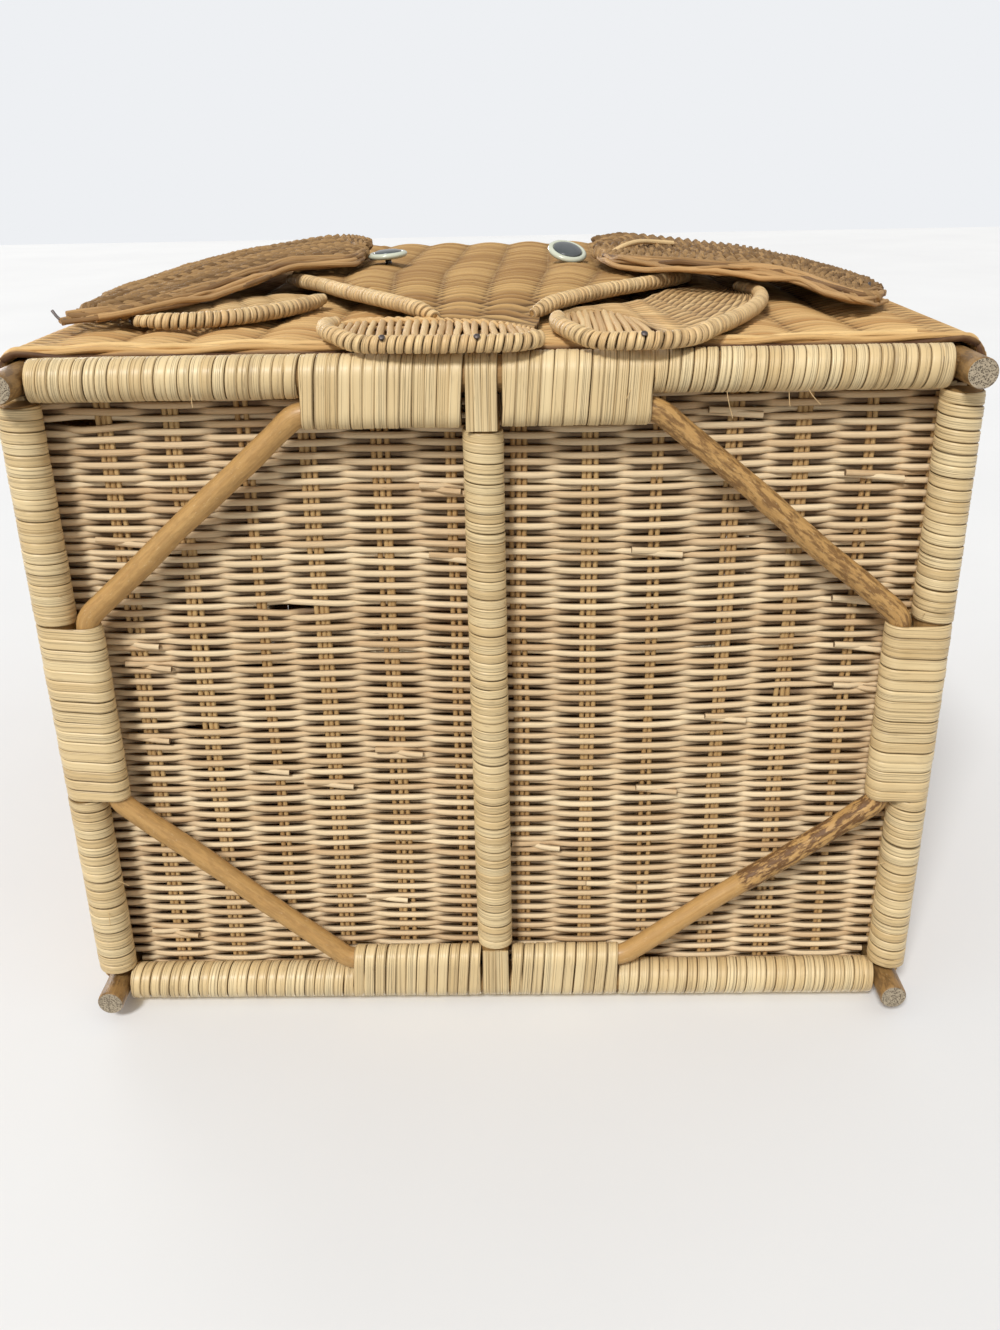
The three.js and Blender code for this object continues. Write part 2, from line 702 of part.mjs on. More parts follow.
// An eye is a shallow domed button on a stem, and its pupil is a thin disc laid on the dome's flat.
function eye(name, { x, tilt }) {
  const radius = eyeDiameter / 2;
  const profile = [
    [0, 0], [stemDiameter / 2, 0], [stemDiameter / 2, stemLength],
    [radius - eyeBackBevel, stemLength], [radius, stemLength + eyeWidestHeight],
    [radius - eyeFrontBevel, stemLength + eyeFrontHeight], [pupilDiameter / 2, stemLength + eyeThickness],
    [0, stemLength + eyeThickness],
  ].map(([r, h]) => new THREE.Vector2(r, h));
  const button = new THREE.LatheGeometry(profile, eyeSides);
  const disc = new THREE.CylinderGeometry(pupilDiameter / 2, pupilDiameter / 2, pupilThickness, eyeSides);
  disc.translate(0, stemLength + eyeThickness + gap + pupilThickness / 2, 0);
  const lean = THREE.MathUtils.degToRad(tilt);
  const group = new THREE.Group();
  const slack = stemDiameter / 2 * Math.sin(lean);
  group.position.set(x, -(wallFace + headLift + figureThickness + gap + slack), eyeHeight);
  group.rotation.x = Math.PI + lean;
  group.add(piece(`eye_${name}`, button, materials.eyeWhite), piece(`pupil_${name}`, disc, materials.pupil));
  return group;
}

const basket = new THREE.Group();
basket.add(posts(), braces(), stretcher(), bottomPanel());
for (const [name, side] of Object.entries(sides)) {
  basket.add(bottomRail(name, side), wall(name, side));
}
basket.add(railFrame('top_rail', bindingRadius, topRailHeight, materials.binding), lid());
basket.add(head(), feet(), ears(), eye('left', eyes.left), eye('right', eyes.right));

// Centre the whole over its footprint, with its feet on the floor.
basket.updateMatrixWorld(true);
const reach = new THREE.Box3().setFromObject(basket, true);
const middle = reach.getCenter(new THREE.Vector3());
const placed = new THREE.Group();
placed.position.set(-middle.x, -middle.y, -reach.min.z);
placed.add(basket);

export default placed;
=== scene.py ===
# A rectangular storage basket of wrapped cane and woven reed, with a hinged lid and an elephant's head
# worked on its front. The photograph shows it lying on its back, with its underside to the camera.
# Lengths are in millimetres until a mesh is made.

import json
import math

import bpy
import numpy as np
from mathutils import Matrix, Vector

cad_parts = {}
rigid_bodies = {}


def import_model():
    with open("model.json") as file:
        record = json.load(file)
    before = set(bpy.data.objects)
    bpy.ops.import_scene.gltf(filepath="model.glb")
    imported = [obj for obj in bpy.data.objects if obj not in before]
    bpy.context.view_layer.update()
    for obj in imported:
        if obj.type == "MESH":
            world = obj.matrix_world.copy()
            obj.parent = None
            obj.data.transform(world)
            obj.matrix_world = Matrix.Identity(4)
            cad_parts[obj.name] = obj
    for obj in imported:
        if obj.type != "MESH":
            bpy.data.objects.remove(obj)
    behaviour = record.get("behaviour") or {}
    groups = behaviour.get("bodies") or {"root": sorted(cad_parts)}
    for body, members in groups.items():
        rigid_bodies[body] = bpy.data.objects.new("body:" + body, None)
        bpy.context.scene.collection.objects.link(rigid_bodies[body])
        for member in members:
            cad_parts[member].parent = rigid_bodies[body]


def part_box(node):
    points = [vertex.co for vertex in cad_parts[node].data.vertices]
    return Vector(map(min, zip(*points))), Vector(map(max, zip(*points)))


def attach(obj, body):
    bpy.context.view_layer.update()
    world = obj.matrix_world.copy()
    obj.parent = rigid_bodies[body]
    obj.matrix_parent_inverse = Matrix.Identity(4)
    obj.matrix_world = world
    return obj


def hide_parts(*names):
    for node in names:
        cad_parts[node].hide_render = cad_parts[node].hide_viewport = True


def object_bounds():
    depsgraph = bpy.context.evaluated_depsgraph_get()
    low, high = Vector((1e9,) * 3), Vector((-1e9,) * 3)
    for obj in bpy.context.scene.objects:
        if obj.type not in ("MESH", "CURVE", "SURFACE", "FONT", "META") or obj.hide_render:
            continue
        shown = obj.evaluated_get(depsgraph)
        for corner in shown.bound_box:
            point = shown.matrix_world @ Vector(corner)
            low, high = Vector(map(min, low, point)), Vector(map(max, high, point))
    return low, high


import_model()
cad_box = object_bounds()

MM = 0.001
scene = bpy.context.scene
scene.view_settings.view_transform = "Standard"


# The camera of the photograph

LENS = 32.03
CAMERA_PLACE = (0.012319, -0.241130, -0.502465)
CAMERA_LOOK = (-0.015949, 0.401799, 0.915589)
CAMERA_UP = (0.012696, -0.915550, 0.402004)


def photo_camera():
    lens = bpy.data.cameras.new("photo_camera")
    lens.lens = LENS
    lens.clip_start = 0.01
    camera = bpy.data.objects.new("photo_camera", lens)
    scene.collection.objects.link(camera)
    look = Vector(CAMERA_LOOK)
    up = Vector(CAMERA_UP)
    right = look.cross(up)
    turn = Matrix((right, up, -look)).transposed().to_4x4()
    camera.matrix_world = Matrix.Translation(CAMERA_PLACE) @ turn
    scene.camera = camera


photo_camera()


# Node trees

def colour(red, green, blue):
    """A colour written as it is seen on a screen, from 0 to 255, as the linear colour that nodes take."""
    def linear(value):
        share = value / 255
        return share / 12.92 if share <= 0.04045 else ((share + 0.055) / 1.055) ** 2.4

    return (linear(red), linear(green), linear(blue), 1)


class Wire:
    """An output of a node. Sums on it add the nodes that work them out."""

    def __init__(self, graph, socket):
        self.graph = graph
        self.socket = socket

    def beside(self, name):
        return Wire(self.graph, self.socket.node.outputs[name])

    def __add__(self, other):
        return self.graph.sum("ADD", self, other)

    def __radd__(self, other):
        return self.graph.sum("ADD", other, self)

    def __sub__(self, other):
        return self.graph.sum("SUBTRACT", self, other)

    def __rsub__(self, other):
        return self.graph.sum("SUBTRACT", other, self)

    def __mul__(self, other):
        return self.graph.sum("MULTIPLY", self, other)

    def __rmul__(self, other):
        return self.graph.sum("MULTIPLY", other, self)

    def __truediv__(self, other):
        return self.graph.sum("DIVIDE", self, other)

    def __rtruediv__(self, other):
        return self.graph.sum("DIVIDE", other, self)


class Graph:
    """A node tree, for a shape or for a finish."""

    def __init__(self, tree):
        self.tree = tree

    def node(self, kind, settings=None, values=None, output=0):
        made = self.tree.nodes.new(kind)
        for name, setting in (settings or {}).items():
            setattr(made, name, setting)
        for name, value in (values or {}).items():
            if isinstance(value, Wire):
                self.tree.links.new(value.socket, made.inputs[name])
            else:
                made.inputs[name].default_value = value
        return None if output is None else Wire(self, made.outputs[output])

    def sum(self, operation, first, second):
        sides = (first, second)
        if any(isinstance(side, Wire) and side.socket.type == "VECTOR" for side in sides):
            spread = [(side,) * 3 if isinstance(side, (int, float)) else side for side in sides]
            return self.node("ShaderNodeVectorMath", {"operation": operation}, dict(enumerate(spread)))
        return self.node("ShaderNodeMath", {"operation": operation}, dict(enumerate(sides)))

    def maths(self, operation, *values, clamped=False):
        settings = {"operation": operation, "use_clamp": clamped}
        return self.node("ShaderNodeMath", settings, dict(enumerate(values)))

    def vector(self, x=0.0, y=0.0, z=0.0):
        return self.node("ShaderNodeCombineXYZ", values={"X": x, "Y": y, "Z": z})

    def parts(self, vector, output=0):
        return self.node("ShaderNodeSeparateXYZ", values={0: vector}, output=output)

    def between(self, value, low, high):
        """How far a value has come from low to high, from 0 to 1."""
        values = {"Value": value, "From Min": low, "From Max": high}
        return self.node("ShaderNodeMapRange", {"interpolation_type": "SMOOTHSTEP"}, values)


class Finish(Graph):
    """The node tree of a material."""

    def __init__(self, name, **surface):
        self.material = bpy.data.materials.new(name)
        self.material.use_nodes = True
        super().__init__(self.material.node_tree)
        self.tree.nodes.clear()
        self.shader = self.tree.nodes.new("ShaderNodeBsdfPrincipled")
        for socket, value in surface.items():
            self.shader.inputs[socket.replace("_", " ")].default_value = value
        self.end = self.tree.nodes.new("ShaderNodeOutputMaterial")
        self.tree.links.new(self.shader.outputs[0], self.end.inputs[0])

    def carried(self, name, output="Fac"):
        """What the mesh carries under that name."""
        return self.node("ShaderNodeAttribute", {"attribute_name": name}, output=output)

    def place(self):
        return self.node("ShaderNodeTexCoord", output="Object")

    def facing_up(self):
        """How far the surface faces up, from -1 to 1."""
        return self.parts(self.node("ShaderNodeNewGeometry", output="Normal"), "Z")

    def noise(self, place, scale, detail=2.0, roughness=0.5):
        values = {"Vector": place, "Scale": scale, "Detail": detail, "Roughness": roughness}
        return self.node("ShaderNodeTexNoise", values=values)

    def mix(self, share, first, second):
        """A mix of two wires, or of colours written as they are seen on a screen."""
        first, second = (side if isinstance(side, Wire) else colour(*side) for side in (first, second))
        return self.node("ShaderNodeMix", {"data_type": "RGBA"}, {0: share, 6: first, 7: second}, output=2)

    def set(self, socket, wire):
        self.tree.links.new(wire.socket, self.shader.inputs[socket])

    def bump(self, height, depth, strength=1.0):
        values = {"Height": height, "Distance": depth, "Strength": strength}
        self.set("Normal", self.node("ShaderNodeBump", values=values))


# Finishes

def strip_finish(name, pale, deep, blotch_and_seam_shade, roughness, seam_shade_start=0.86):
    """Cane strip wound round a rail: fine grooves along the strip, a tone for each turn, and painted shade in
    the grooves and where the turns meet.
    """
    finish = Finish(name, Coat_Roughness=0.3, Specular_IOR_Level=0.5)
    across = finish.carried("across")
    turn = finish.carried("turn")
    run = finish.carried("run")
    fibres = finish.noise(finish.vector(run * 30, across * 6.5, turn * 57), 1.0, 3.0, 0.65)
    courses = finish.noise(finish.vector(run * 6, across * 2.5, turn * 83), 1.0, 0.0)
    groove = 1 - finish.between(finish.maths("ABSOLUTE", courses - 0.5), 0.0, 0.045)
    patches = finish.noise(finish.place(), 26.0, 3.0, 0.55)
    blotches = finish.noise(finish.vector(run * 110, across * 1.2, turn * 31), 1.0, 2.0)
    tone = finish.maths("ADD", turn * 0.42 + fibres * 0.6, patches * 0.5 - 0.36, clamped=True)
    shade = finish.mix(tone, deep, pale)
    shade = finish.mix(finish.between(blotches, 0.6, 0.8) * 0.3, shade, blotch_and_seam_shade)
    # Painted shade: darker towards both edges of the strip, where it meets the next turn, and along its fine
    # grooves. The blotches above take the same dark colour.
    edge = finish.between(finish.maths("ABSOLUTE", across), seam_shade_start, 1.0)
    dark = finish.maths("MAXIMUM", edge * 0.7, groove * 0.42)
    finish.set("Base Color", finish.mix(dark, shade, blotch_and_seam_shade))
    finish.set("Roughness", roughness + fibres * 0.25)
    finish.set("Coat Weight", 0.15 - dark * 0.2)
    finish.bump(fibres * 0.5 - groove, 0.0005, 0.7)
    return finish.material


def reed_finish(name, pale, deep, fleck_and_shade, roughness=0.5, weight=0.5, below=False):
    """Round reed with streaks along it, a tone for each strand, and painted shade in its hollows, all round
    or, with below, only on faces that look down.
    """
    finish = Finish(name, Specular_IOR_Level=0.35)
    tone = finish.carried("tone")
    around = finish.parts(finish.carried("around", "Vector"))
    run = finish.carried("run")
    side = around * 2.6 + tone * 61
    streaks = finish.noise(finish.vector(run * 34, side, around.beside("Y") * 2.6), 1.0, 3.0, 0.62)
    patches = finish.noise(finish.place(), 19.0, 3.0, 0.6)
    flecks = finish.noise(finish.vector(run * 160, side * 1.7, around.beside("Y") * 4), 1.0, 2.0)
    share = tone * weight + streaks * 0.7 + patches * 0.5 - 0.6
    shade = finish.mix(finish.maths("ADD", share, 0.14, clamped=True), deep, pale)
    # Dark flecks, in the colour that the painted shade below also takes.
    shade = finish.mix(finish.between(flecks, 0.62, 0.78) * 0.4, shade, fleck_and_shade)
    # Painted shade, as much as the mesh carries: in the grooves between strands and where a reed passes
    # behind a stake.
    valley = finish.carried("valley")
    # With below, the painted shade stays on faces that look down, and the reed's flanks get painted shade as
    # well.
    if below:
        facing = finish.facing_up()
        flank_shade = 1 - finish.between(finish.maths("ABSOLUTE", facing), 0.08, 0.62)
        valley = finish.maths("MAXIMUM", valley * finish.between(facing, 0.1, -0.2), flank_shade * 0.8)
    shade = finish.mix(finish.maths("MULTIPLY", valley, 1.0, clamped=True), shade, fleck_and_shade)
    finish.set("Base Color", shade)
    finish.set("Roughness", roughness + streaks * 0.25)
    finish.bump(streaks, 0.0007, 0.75)
    return finish.material


def cane_finish(name, pale, deep, bark, end_pale, end_dark):
    """Bare pole cane: mottled bark where it is left on, and open pores on a sawn end."""
    finish = Finish(name, Coat_Roughness=0.3, Specular_IOR_Level=0.45)
    around = finish.parts(finish.carried("around", "Vector"))
    run = finish.carried("run")
    tone = finish.carried("tone")
    wide = finish.vector(run * 55, around + tone * 17, around.beside("Y"))
    fine = finish.vector(run * 22, around * 5, around.beside("Y") * 5 + tone * 9)
    grain = finish.noise(fine, 1.0, 3.0, 0.6)
    mottle = finish.noise(wide, 2.2, 4.0, 0.65)
    scuffs = finish.noise(wide, 6.5, 3.0, 0.7)
    shade = finish.mix(grain, deep, pale)
    left = finish.carried("bark") * finish.between(mottle, 0.42, 0.6)
    shade = finish.mix(left * 0.8, shade, bark)
    shade = finish.mix(finish.between(scuffs, 0.62, 0.74) * 0.55, shade, end_pale)
    upright = finish.maths("ABSOLUTE", finish.facing_up())
    sawn = finish.carried("sawn") * finish.between(upright, 0.75, 0.92)
    pores = finish.node("ShaderNodeTexVoronoi", values={"Vector": finish.place(), "Scale": 1500.0})
    dust = finish.noise(finish.place(), 420.0, 4.0, 0.7)
    pitted = finish.between(pores, 0.18, 0.5)
    face = finish.mix(pitted * (0.35 + dust * 0.9), end_dark, end_pale)
    finish.set("Base Color", finish.mix(sawn, shade, face))
    finish.set("Roughness", 0.36 + grain * 0.25 + sawn * 0.4)
    finish.set("Coat Weight", 0.25 - sawn * 0.25)
    finish.bump(grain * 0.3 + left * 0.3 + scuffs * 0.25 + sawn * (pitted * 1.4 + dust), 0.0007, 0.8)
    return finish.material


def plain_cane_finish(name, pale, deep):
    """The cane under the windings, seen only in the chinks between them."""
    finish = Finish(name, Specular_IOR_Level=0.4)
    grain = finish.noise(finish.place(), 140.0, 4.0, 0.65)
    finish.set("Base Color", finish.mix(grain, deep, pale))
    finish.set("Roughness", 0.45 + grain * 0.3)
    finish.bump(grain, 0.0005, 0.7)
    return finish.material


def moulded_finish(name, shade, worn, roughness):
    """Glossy moulded plastic with a faint cloudiness and fine scratches."""
    finish = Finish(name, Coat_Weight=0.6, Coat_Roughness=0.08)
    cloud = finish.noise(finish.place(), 160.0, 3.0)
    scratches = finish.noise(finish.place(), 900.0, 3.0, 0.7)
    finish.set("Base Color", finish.mix(cloud, shade, worn))
    finish.set("Roughness", roughness + scratches * 0.12)
    finish.bump(scratches, 0.00005, 0.6)
    return finish.material


def steel_finish():
    finish = Finish("dull_steel", Metallic=1.0)
    wear = finish.noise(finish.place(), 700.0, 3.0, 0.6)
    finish.set("Base Color", finish.mix(wear, (132, 124, 122), (78, 72, 72)))
    finish.set("Roughness", 0.35 + wear * 0.3)
    return finish.material


# In each strip and reed finish the third colour is for dark blotches or flecks and for painted shade in seams
# and hollows.
STRAW = strip_finish("straw_strip", (246, 225, 178), (208, 176, 122), (96, 68, 38), 0.32)
REED = reed_finish("bottom_reed", (246, 224, 184), (202, 168, 124), (84, 58, 36), weight=0.6,
                   below=True)
STAKE = reed_finish("stake_reed", (220, 186, 128), (170, 130, 80), (78, 56, 34))
CANE = cane_finish("bare_cane", (206, 166, 104), (172, 126, 68), (112, 78, 42),
                   (218, 194, 150), (120, 98, 70))
POST = cane_finish("post_cane", (176, 138, 84), (128, 94, 52), (86, 62, 36),
                   (188, 172, 146), (112, 98, 80))
CORE = plain_cane_finish("rail_cane", (190, 150, 92), (136, 100, 56))
WALL = reed_finish("wall_reed", (230, 190, 128), (186, 138, 80), (84, 54, 28), weight=0.75)
EDGE = reed_finish("edge_reed", (240, 204, 142), (196, 152, 94), (84, 54, 28), weight=0.7)
FIGURE = reed_finish("figure_reed", (206, 166, 106), (152, 110, 60), (66, 42, 22), weight=0.85)
EAR = reed_finish("ear_reed", (170, 134, 88), (102, 74, 42), (40, 27, 16), 0.62, weight=0.9)
SPOKE = reed_finish("spoke_reed", (240, 208, 154), (190, 150, 98), (96, 64, 36), weight=0.7)
RIM = strip_finish("rim_strip", (250, 220, 164), (212, 172, 116), (74, 48, 28), 0.42, seam_shade_start=0.72)
FOOT = reed_finish("foot_reed", (240, 204, 146), (204, 162, 106), (84, 54, 28), weight=0.8)
EAR_ROD = reed_finish("ear_rod", (200, 158, 104), (108, 76, 44), (52, 36, 20), weight=1.1)
EYE = moulded_finish("eye_ring", (214, 218, 198), (196, 200, 176), 0.18)
PUPIL = moulded_finish("eye_dark", (58, 64, 66), (84, 90, 92), 0.12)
STEM = moulded_finish("eye_stem", (26, 25, 24), (40, 38, 36), 0.3)
STEEL = steel_finish()


# Meshes

def centre(node):
    low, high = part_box(node)
    return (low + high) / 2 / MM


front_left_post = centre("post_front_left")
back_right_post = centre("post_back_right")
half_x = (back_right_post.x - front_left_post.x) / 2
half_y = (back_right_post.y - front_left_post.y) / 2
middle_y = (back_right_post.y + front_left_post.y) / 2
front_y = front_left_post.y
back_y = back_right_post.y
rail_height = centre("bottom_rail_front").z
sides = {"front": 0, "right": 1, "back": 2, "left": 3}
chance = np.random.default_rng(7)
FORWARD = np.array([0.0, -1.0, 0.0])
UP = np.array([0.0, 0.0, 1.0])


def half_length(side):
    """Half of the way between the posts of a side."""
    return half_x if sides[side] % 2 == 0 else half_y


def on_side(name, points):
    """Points laid out on one side (x along it, y inwards from its posts, z up) as points of the basket."""
    turn = sides[name] * math.pi / 2
    points = np.asarray(points, float)
    x = points[..., 0]
    y = points[..., 1] - (half_y if sides[name] % 2 == 0 else half_x)
    turned_x = math.cos(turn) * x - math.sin(turn) * y
    turned_y = math.sin(turn) * x + math.cos(turn) * y + middle_y
    return np.stack([turned_x, turned_y, points[..., 2]], axis=-1)


def side_direction(name, direction):
    turn = sides[name] * math.pi / 2
    x, y, z = direction
    return (math.cos(turn) * x - math.sin(turn) * y, math.sin(turn) * x + math.cos(turn) * y, z)


def add_values(mesh, name, values):
    values = np.asarray(values, float)
    kind = "FLOAT" if values.ndim == 1 else "FLOAT_VECTOR"
    field = "value" if values.ndim == 1 else "vector"
    mesh.attributes.new(name, kind, "POINT").data.foreach_set(field, values.ravel())


def new_object(name, points, edges=(), faces=(), **values):
    """An object whose mesh is given in millimetres, with values for each of its points."""
    mesh = bpy.data.meshes.new(name)
    mesh.from_pydata(np.asarray(points, float) * MM, edges, faces)
    for label, numbers in values.items():
        add_values(mesh, label, numbers)
    made = bpy.data.objects.new(name, mesh)
    scene.collection.objects.link(made)
    return made


def line_object(name, lines):
    """Loose lines. Each is (points, values): a value is one number or vector, or one for each point."""
    points = np.concatenate([np.asarray(line, float) for line, _ in lines])
    edges = []
    start = 0
    for line, _ in lines:
        edges += [(i, i + 1) for i in range(start, start + len(line) - 1)]
        start += len(line)
    values = {}
    for label, sample in lines[0][1].items():
        width = np.ndim(sample) and np.shape(sample)[-1] == 3
        columns = []
        for line, given in lines:
            shape = (len(line), 3) if width else (len(line),)
            columns.append(np.broadcast_to(np.asarray(given[label], float), shape))
        values[label] = np.concatenate(columns)
    return new_object(name, points, edges, **values)


def smoothed(points, spacing):
    """A smooth line through the points, cut evenly."""
    points = np.asarray(points, float)
    padded = np.vstack([2 * points[0] - points[1], points, 2 * points[-1] - points[-2]])
    fine = []
    for a, b, c, d in zip(padded, padded[1:], padded[2:], padded[3:]):
        for t in np.linspace(0, 1, 24, endpoint=False):
            bend = (2 * b + (c - a) * t + (2 * a - 5 * b + 4 * c - d) * t ** 2
                    + (3 * b - a - 3 * c + d) * t ** 3) / 2
            fine.append(bend)
    fine = np.array(fine + [points[-1]])
    return evenly(fine, spacing)


def between_points(at, places, line):
    """The points of a line, whose own points are at some places, at other places along it."""
    return np.column_stack([np.interp(at, places, line[:, k]) for k in range(line.shape[1])])


def distance_along(line):
    """How far along a line each of its points is."""
    return np.concatenate([[0], np.cumsum(np.linalg.norm(np.diff(line, axis=0), axis=1))])


def evenly(line, spacing):
    """The line cut again into even steps."""
    run = distance_along(line)
    count = max(2, round(run[-1] / spacing) + 1)
    at = np.linspace(0, run[-1], count)
    return between_points(at, run, line)


def wander(count, size, smoothness):
    """A smooth random line of numbers about zero."""
    knots = chance.normal(0, size, count // smoothness + 3)
    at = np.arange(count) / smoothness
    return np.interp(at, np.arange(len(knots)), knots)


# Trees that make the shapes

class Shape(Graph):
    """A geometry tree with named inputs."""

    def __init__(self, name, **inputs):
        super().__init__(bpy.data.node_groups.new(name, "GeometryNodeTree"))
        face = self.tree.interface
        face.new_socket("Geometry", in_out="INPUT", socket_type="NodeSocketGeometry")
        self.identifiers = {}
        for label, kind in inputs.items():
            socket = face.new_socket(label.replace("_", " "), in_out="INPUT", socket_type="NodeSocket" + kind)
            self.identifiers[label] = socket.identifier
        face.new_socket("Geometry", in_out="OUTPUT", socket_type="NodeSocketGeometry")
        self.start = self.node("NodeGroupInput")

    def given(self, label):
        return self.start.beside(label.replace("_", " "))

    def stored(self, geometry, name, value, kind="FLOAT"):
        settings = {"data_type": kind, "domain": "POINT"}
        values = {"Geometry": geometry, "Name": name, "Value": value}
        return self.node("GeometryNodeStoreNamedAttribute", settings, values)

    def read(self, name, kind="FLOAT"):
        return self.node("GeometryNodeInputNamedAttribute", {"data_type": kind}, {"Name": name})

    def random(self, low, high, number, seed):
        values = {2: low, 3: high, "ID": number, "Seed": seed}
        return self.node("FunctionNodeRandomValue", {"data_type": "FLOAT"}, values, 1)

    def vector_maths(self, operation, *values, output=0):
        settings = {"operation": operation}
        return self.node("ShaderNodeVectorMath", settings, dict(enumerate(values)), output)

    def of_object(self, label):
        return self.node("GeometryNodeObjectInfo", values={"Object": self.given(label)}, output="Geometry")

    def painted(self, geometry, label):
        smooth = self.node("GeometryNodeSetShadeSmooth", values={"Geometry": geometry})
        real = self.node("GeometryNodeRealizeInstances", values={"Geometry": smooth})
        return self.node("GeometryNodeSetMaterial", values={"Geometry": real, "Material": self.given(label)})

    def curves(self, geometry):
        return self.node("GeometryNodeMeshToCurve", values={"Mesh": geometry})

    def with_run(self, lines):
        """Lines that carry how far along them each point is."""
        return self.stored(lines, "run", self.node("GeometryNodeSplineParameter", output="Length"))

    def circle(self, sides_round, radius, scale):
        """A circle that carries its points, times a scale, as what lies around a strand."""
        values = {"Resolution": sides_round, "Radius": radius}
        made = self.node("GeometryNodeCurvePrimitiveCircle", values=values)
        place = self.node("GeometryNodeInputPosition") * scale
        return self.stored(made, "around", place, "FLOAT_VECTOR")

    def given_section(self):
        """The section of a strip, as thick and as wide as the tree is told."""
        section = self.curves(self.of_object("Section"))
        size = self.vector(self.given("Thickness"), self.given("Width"), 1.0)
        place = self.node("GeometryNodeInputPosition") * size
        return self.node("GeometryNodeSetPosition", values={"Geometry": section, "Position": place})

    def swept(self, lines, profile, finish, **values):
        values = {"Curve": lines, "Profile Curve": profile, "Fill Caps": True, **values}
        return self.painted(self.node("GeometryNodeCurveToMesh", values=values), finish)

    def finish(self, geometry):
        end = self.tree.nodes.new("NodeGroupOutput")
        self.tree.links.new(geometry.socket, end.inputs[0])


def shaped(made, shape, **values):
    """Runs a shape's tree on an object and leaves the result as its plain mesh."""
    modifier = made.modifiers.new("shape", "NODES")
    modifier.node_group = shape.tree
    for label, value in values.items():
        modifier[shape.identifiers[label]] = value
    depsgraph = bpy.context.evaluated_depsgraph_get()
    mesh = bpy.data.meshes.new_from_object(made.evaluated_get(depsgraph), depsgraph=depsgraph)
    made.modifiers.clear()
    spare = made.data
    made.data = mesh
    bpy.data.meshes.remove(spare)
    mesh.name = made.name
    return made


def settle(piece, body, slot, *nodes):
    """Puts a finished piece on its body and hides the solids that it stands for. The slot it is given is not
    used.
    """
    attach(piece, body)
    if nodes:
        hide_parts(*nodes)


def strand_shape():
    """A round strand along each line, as thick as the line's points say."""
    shape = Shape("strands", Sides="Int", Finish="Material")
    lines = shape.with_run(shape.curves(shape.given("Geometry")))
    circle = shape.circle(shape.given("Sides"), 1.0, 1.0)
    shape.finish(shape.swept(lines, circle, "Finish", Scale=shape.read("thick")))
    return shape


def winding_shape():
    """A flat strip wound as a screw along each line, round the outline of another object, and a core."""
    shape = Shape("winding", Outline="Object", Section="Object", Steps="Int", Pitch="Float", Width="Float",
                  Thickness="Float", Scatter="Float", Seed="Int", Core="Float", Finish="Material",
                  Core_Finish="Material")
    steps = shape.given("Steps")
    pitch = shape.given("Pitch")
    seed = shape.given("Seed")
    scatter = shape.given("Scatter")
    axis = shape.curves(shape.given("Geometry"))
    length = shape.node("GeometryNodeSplineLength")
    turns = shape.maths("MAXIMUM", shape.maths("ROUND", length / pitch), 1.0)
    count = turns * steps + 1
    line = shape.node("GeometryNodeResampleCurve", {"mode": "COUNT"}, {"Curve": axis, "Count": count})
    index = shape.node("GeometryNodeSplineParameter", output="Index")
    turned = index / steps
    turn = shape.maths("FLOOR", turned + 0.0001)
    phase = shape.maths("FRACT", turned + 0.0001)
    outline = shape.curves(shape.of_object("Outline"))
    settings = {"mode": "FACTOR", "use_all_curves": True}
    values = {"Curves": outline, "Factor": phase}
    sampled = shape.node("GeometryNodeSampleCurve", settings, values, "Position")
    around = shape.parts(sampled)
    heading = shape.parts(sampled.beside("Tangent"))

    along = shape.node("GeometryNodeInputTangent")
    up = shape.read("up", "FLOAT_VECTOR")
    rest = shape.vector_maths("DOT_PRODUCT", up, along, output="Value")
    up = shape.vector_maths("NORMALIZE", up - along * rest)
    across = shape.vector_maths("CROSS_PRODUCT", up, along)
    outward = up * heading.beside("Y") - across * heading

    spline = shape.node("GeometryNodeInputPosition") * 40
    place = shape.vector(turned) + shape.vector_maths("FLOOR", spline * 0.2) + seed
    loose = shape.node("ShaderNodeTexNoise", values={"Vector": place, "Scale": 0.55, "Detail": 1.0})
    jump = shape.random(-1.0, 1.0, turn + seed * 97, seed)
    slip = (loose - 0.5) * scatter * 4 + jump * scatter * 0.25
    moved = (up * around + across * around.beside("Y")) * shape.read("size") + along * slip
    moved = moved + outward * (jump * scatter * 0.3)
    line = shape.stored(line, "outward", outward, "FLOAT_VECTOR")
    line = shape.stored(line, "turn", shape.random(0.0, 1.0, turn, seed + 5))
    line = shape.stored(line, "run", turned * 0.06)
    line = shape.node("GeometryNodeSetPosition", values={"Geometry": line, "Offset": moved})
    line = shape.node("GeometryNodeSetCurveNormal", {"mode": "FREE"},
                      {"Curve": line, "Normal": shape.read("outward", "FLOAT_VECTOR")})

    strips = shape.swept(line, shape.given_section(), "Finish")

    core = shape.node("GeometryNodeResampleCurve", {"mode": "COUNT"}, {"Curve": axis, "Count": turns + 1})
    core = shape.swept(shape.with_run(core), shape.circle(14, shape.given("Core"), 200), "Core_Finish")
    both = shape.tree.nodes.new("GeometryNodeJoinGeometry")
    shape.tree.links.new(core.socket, both.inputs[0])
    shape.tree.links.new(strips.socket, both.inputs[0])
    wanted = shape.node("FunctionNodeCompare", {"data_type": "FLOAT", "operation": "GREATER_THAN"},
                        {0: shape.given("Core"), 1: 0.0})
    ending = shape.node("GeometryNodeSwitch", {"input_type": "GEOMETRY"},
                        {0: wanted, 1: strips, 2: Wire(shape, both.outputs[0])})
    shape.finish(ending)
    return shape


strands = strand_shape()
winding = winding_shape()


def reed(line, radius, **values):
    """A line with the radius of its strand and a random tone."""
    return line, {"thick": radius * MM, "tone": chance.random(), **values}


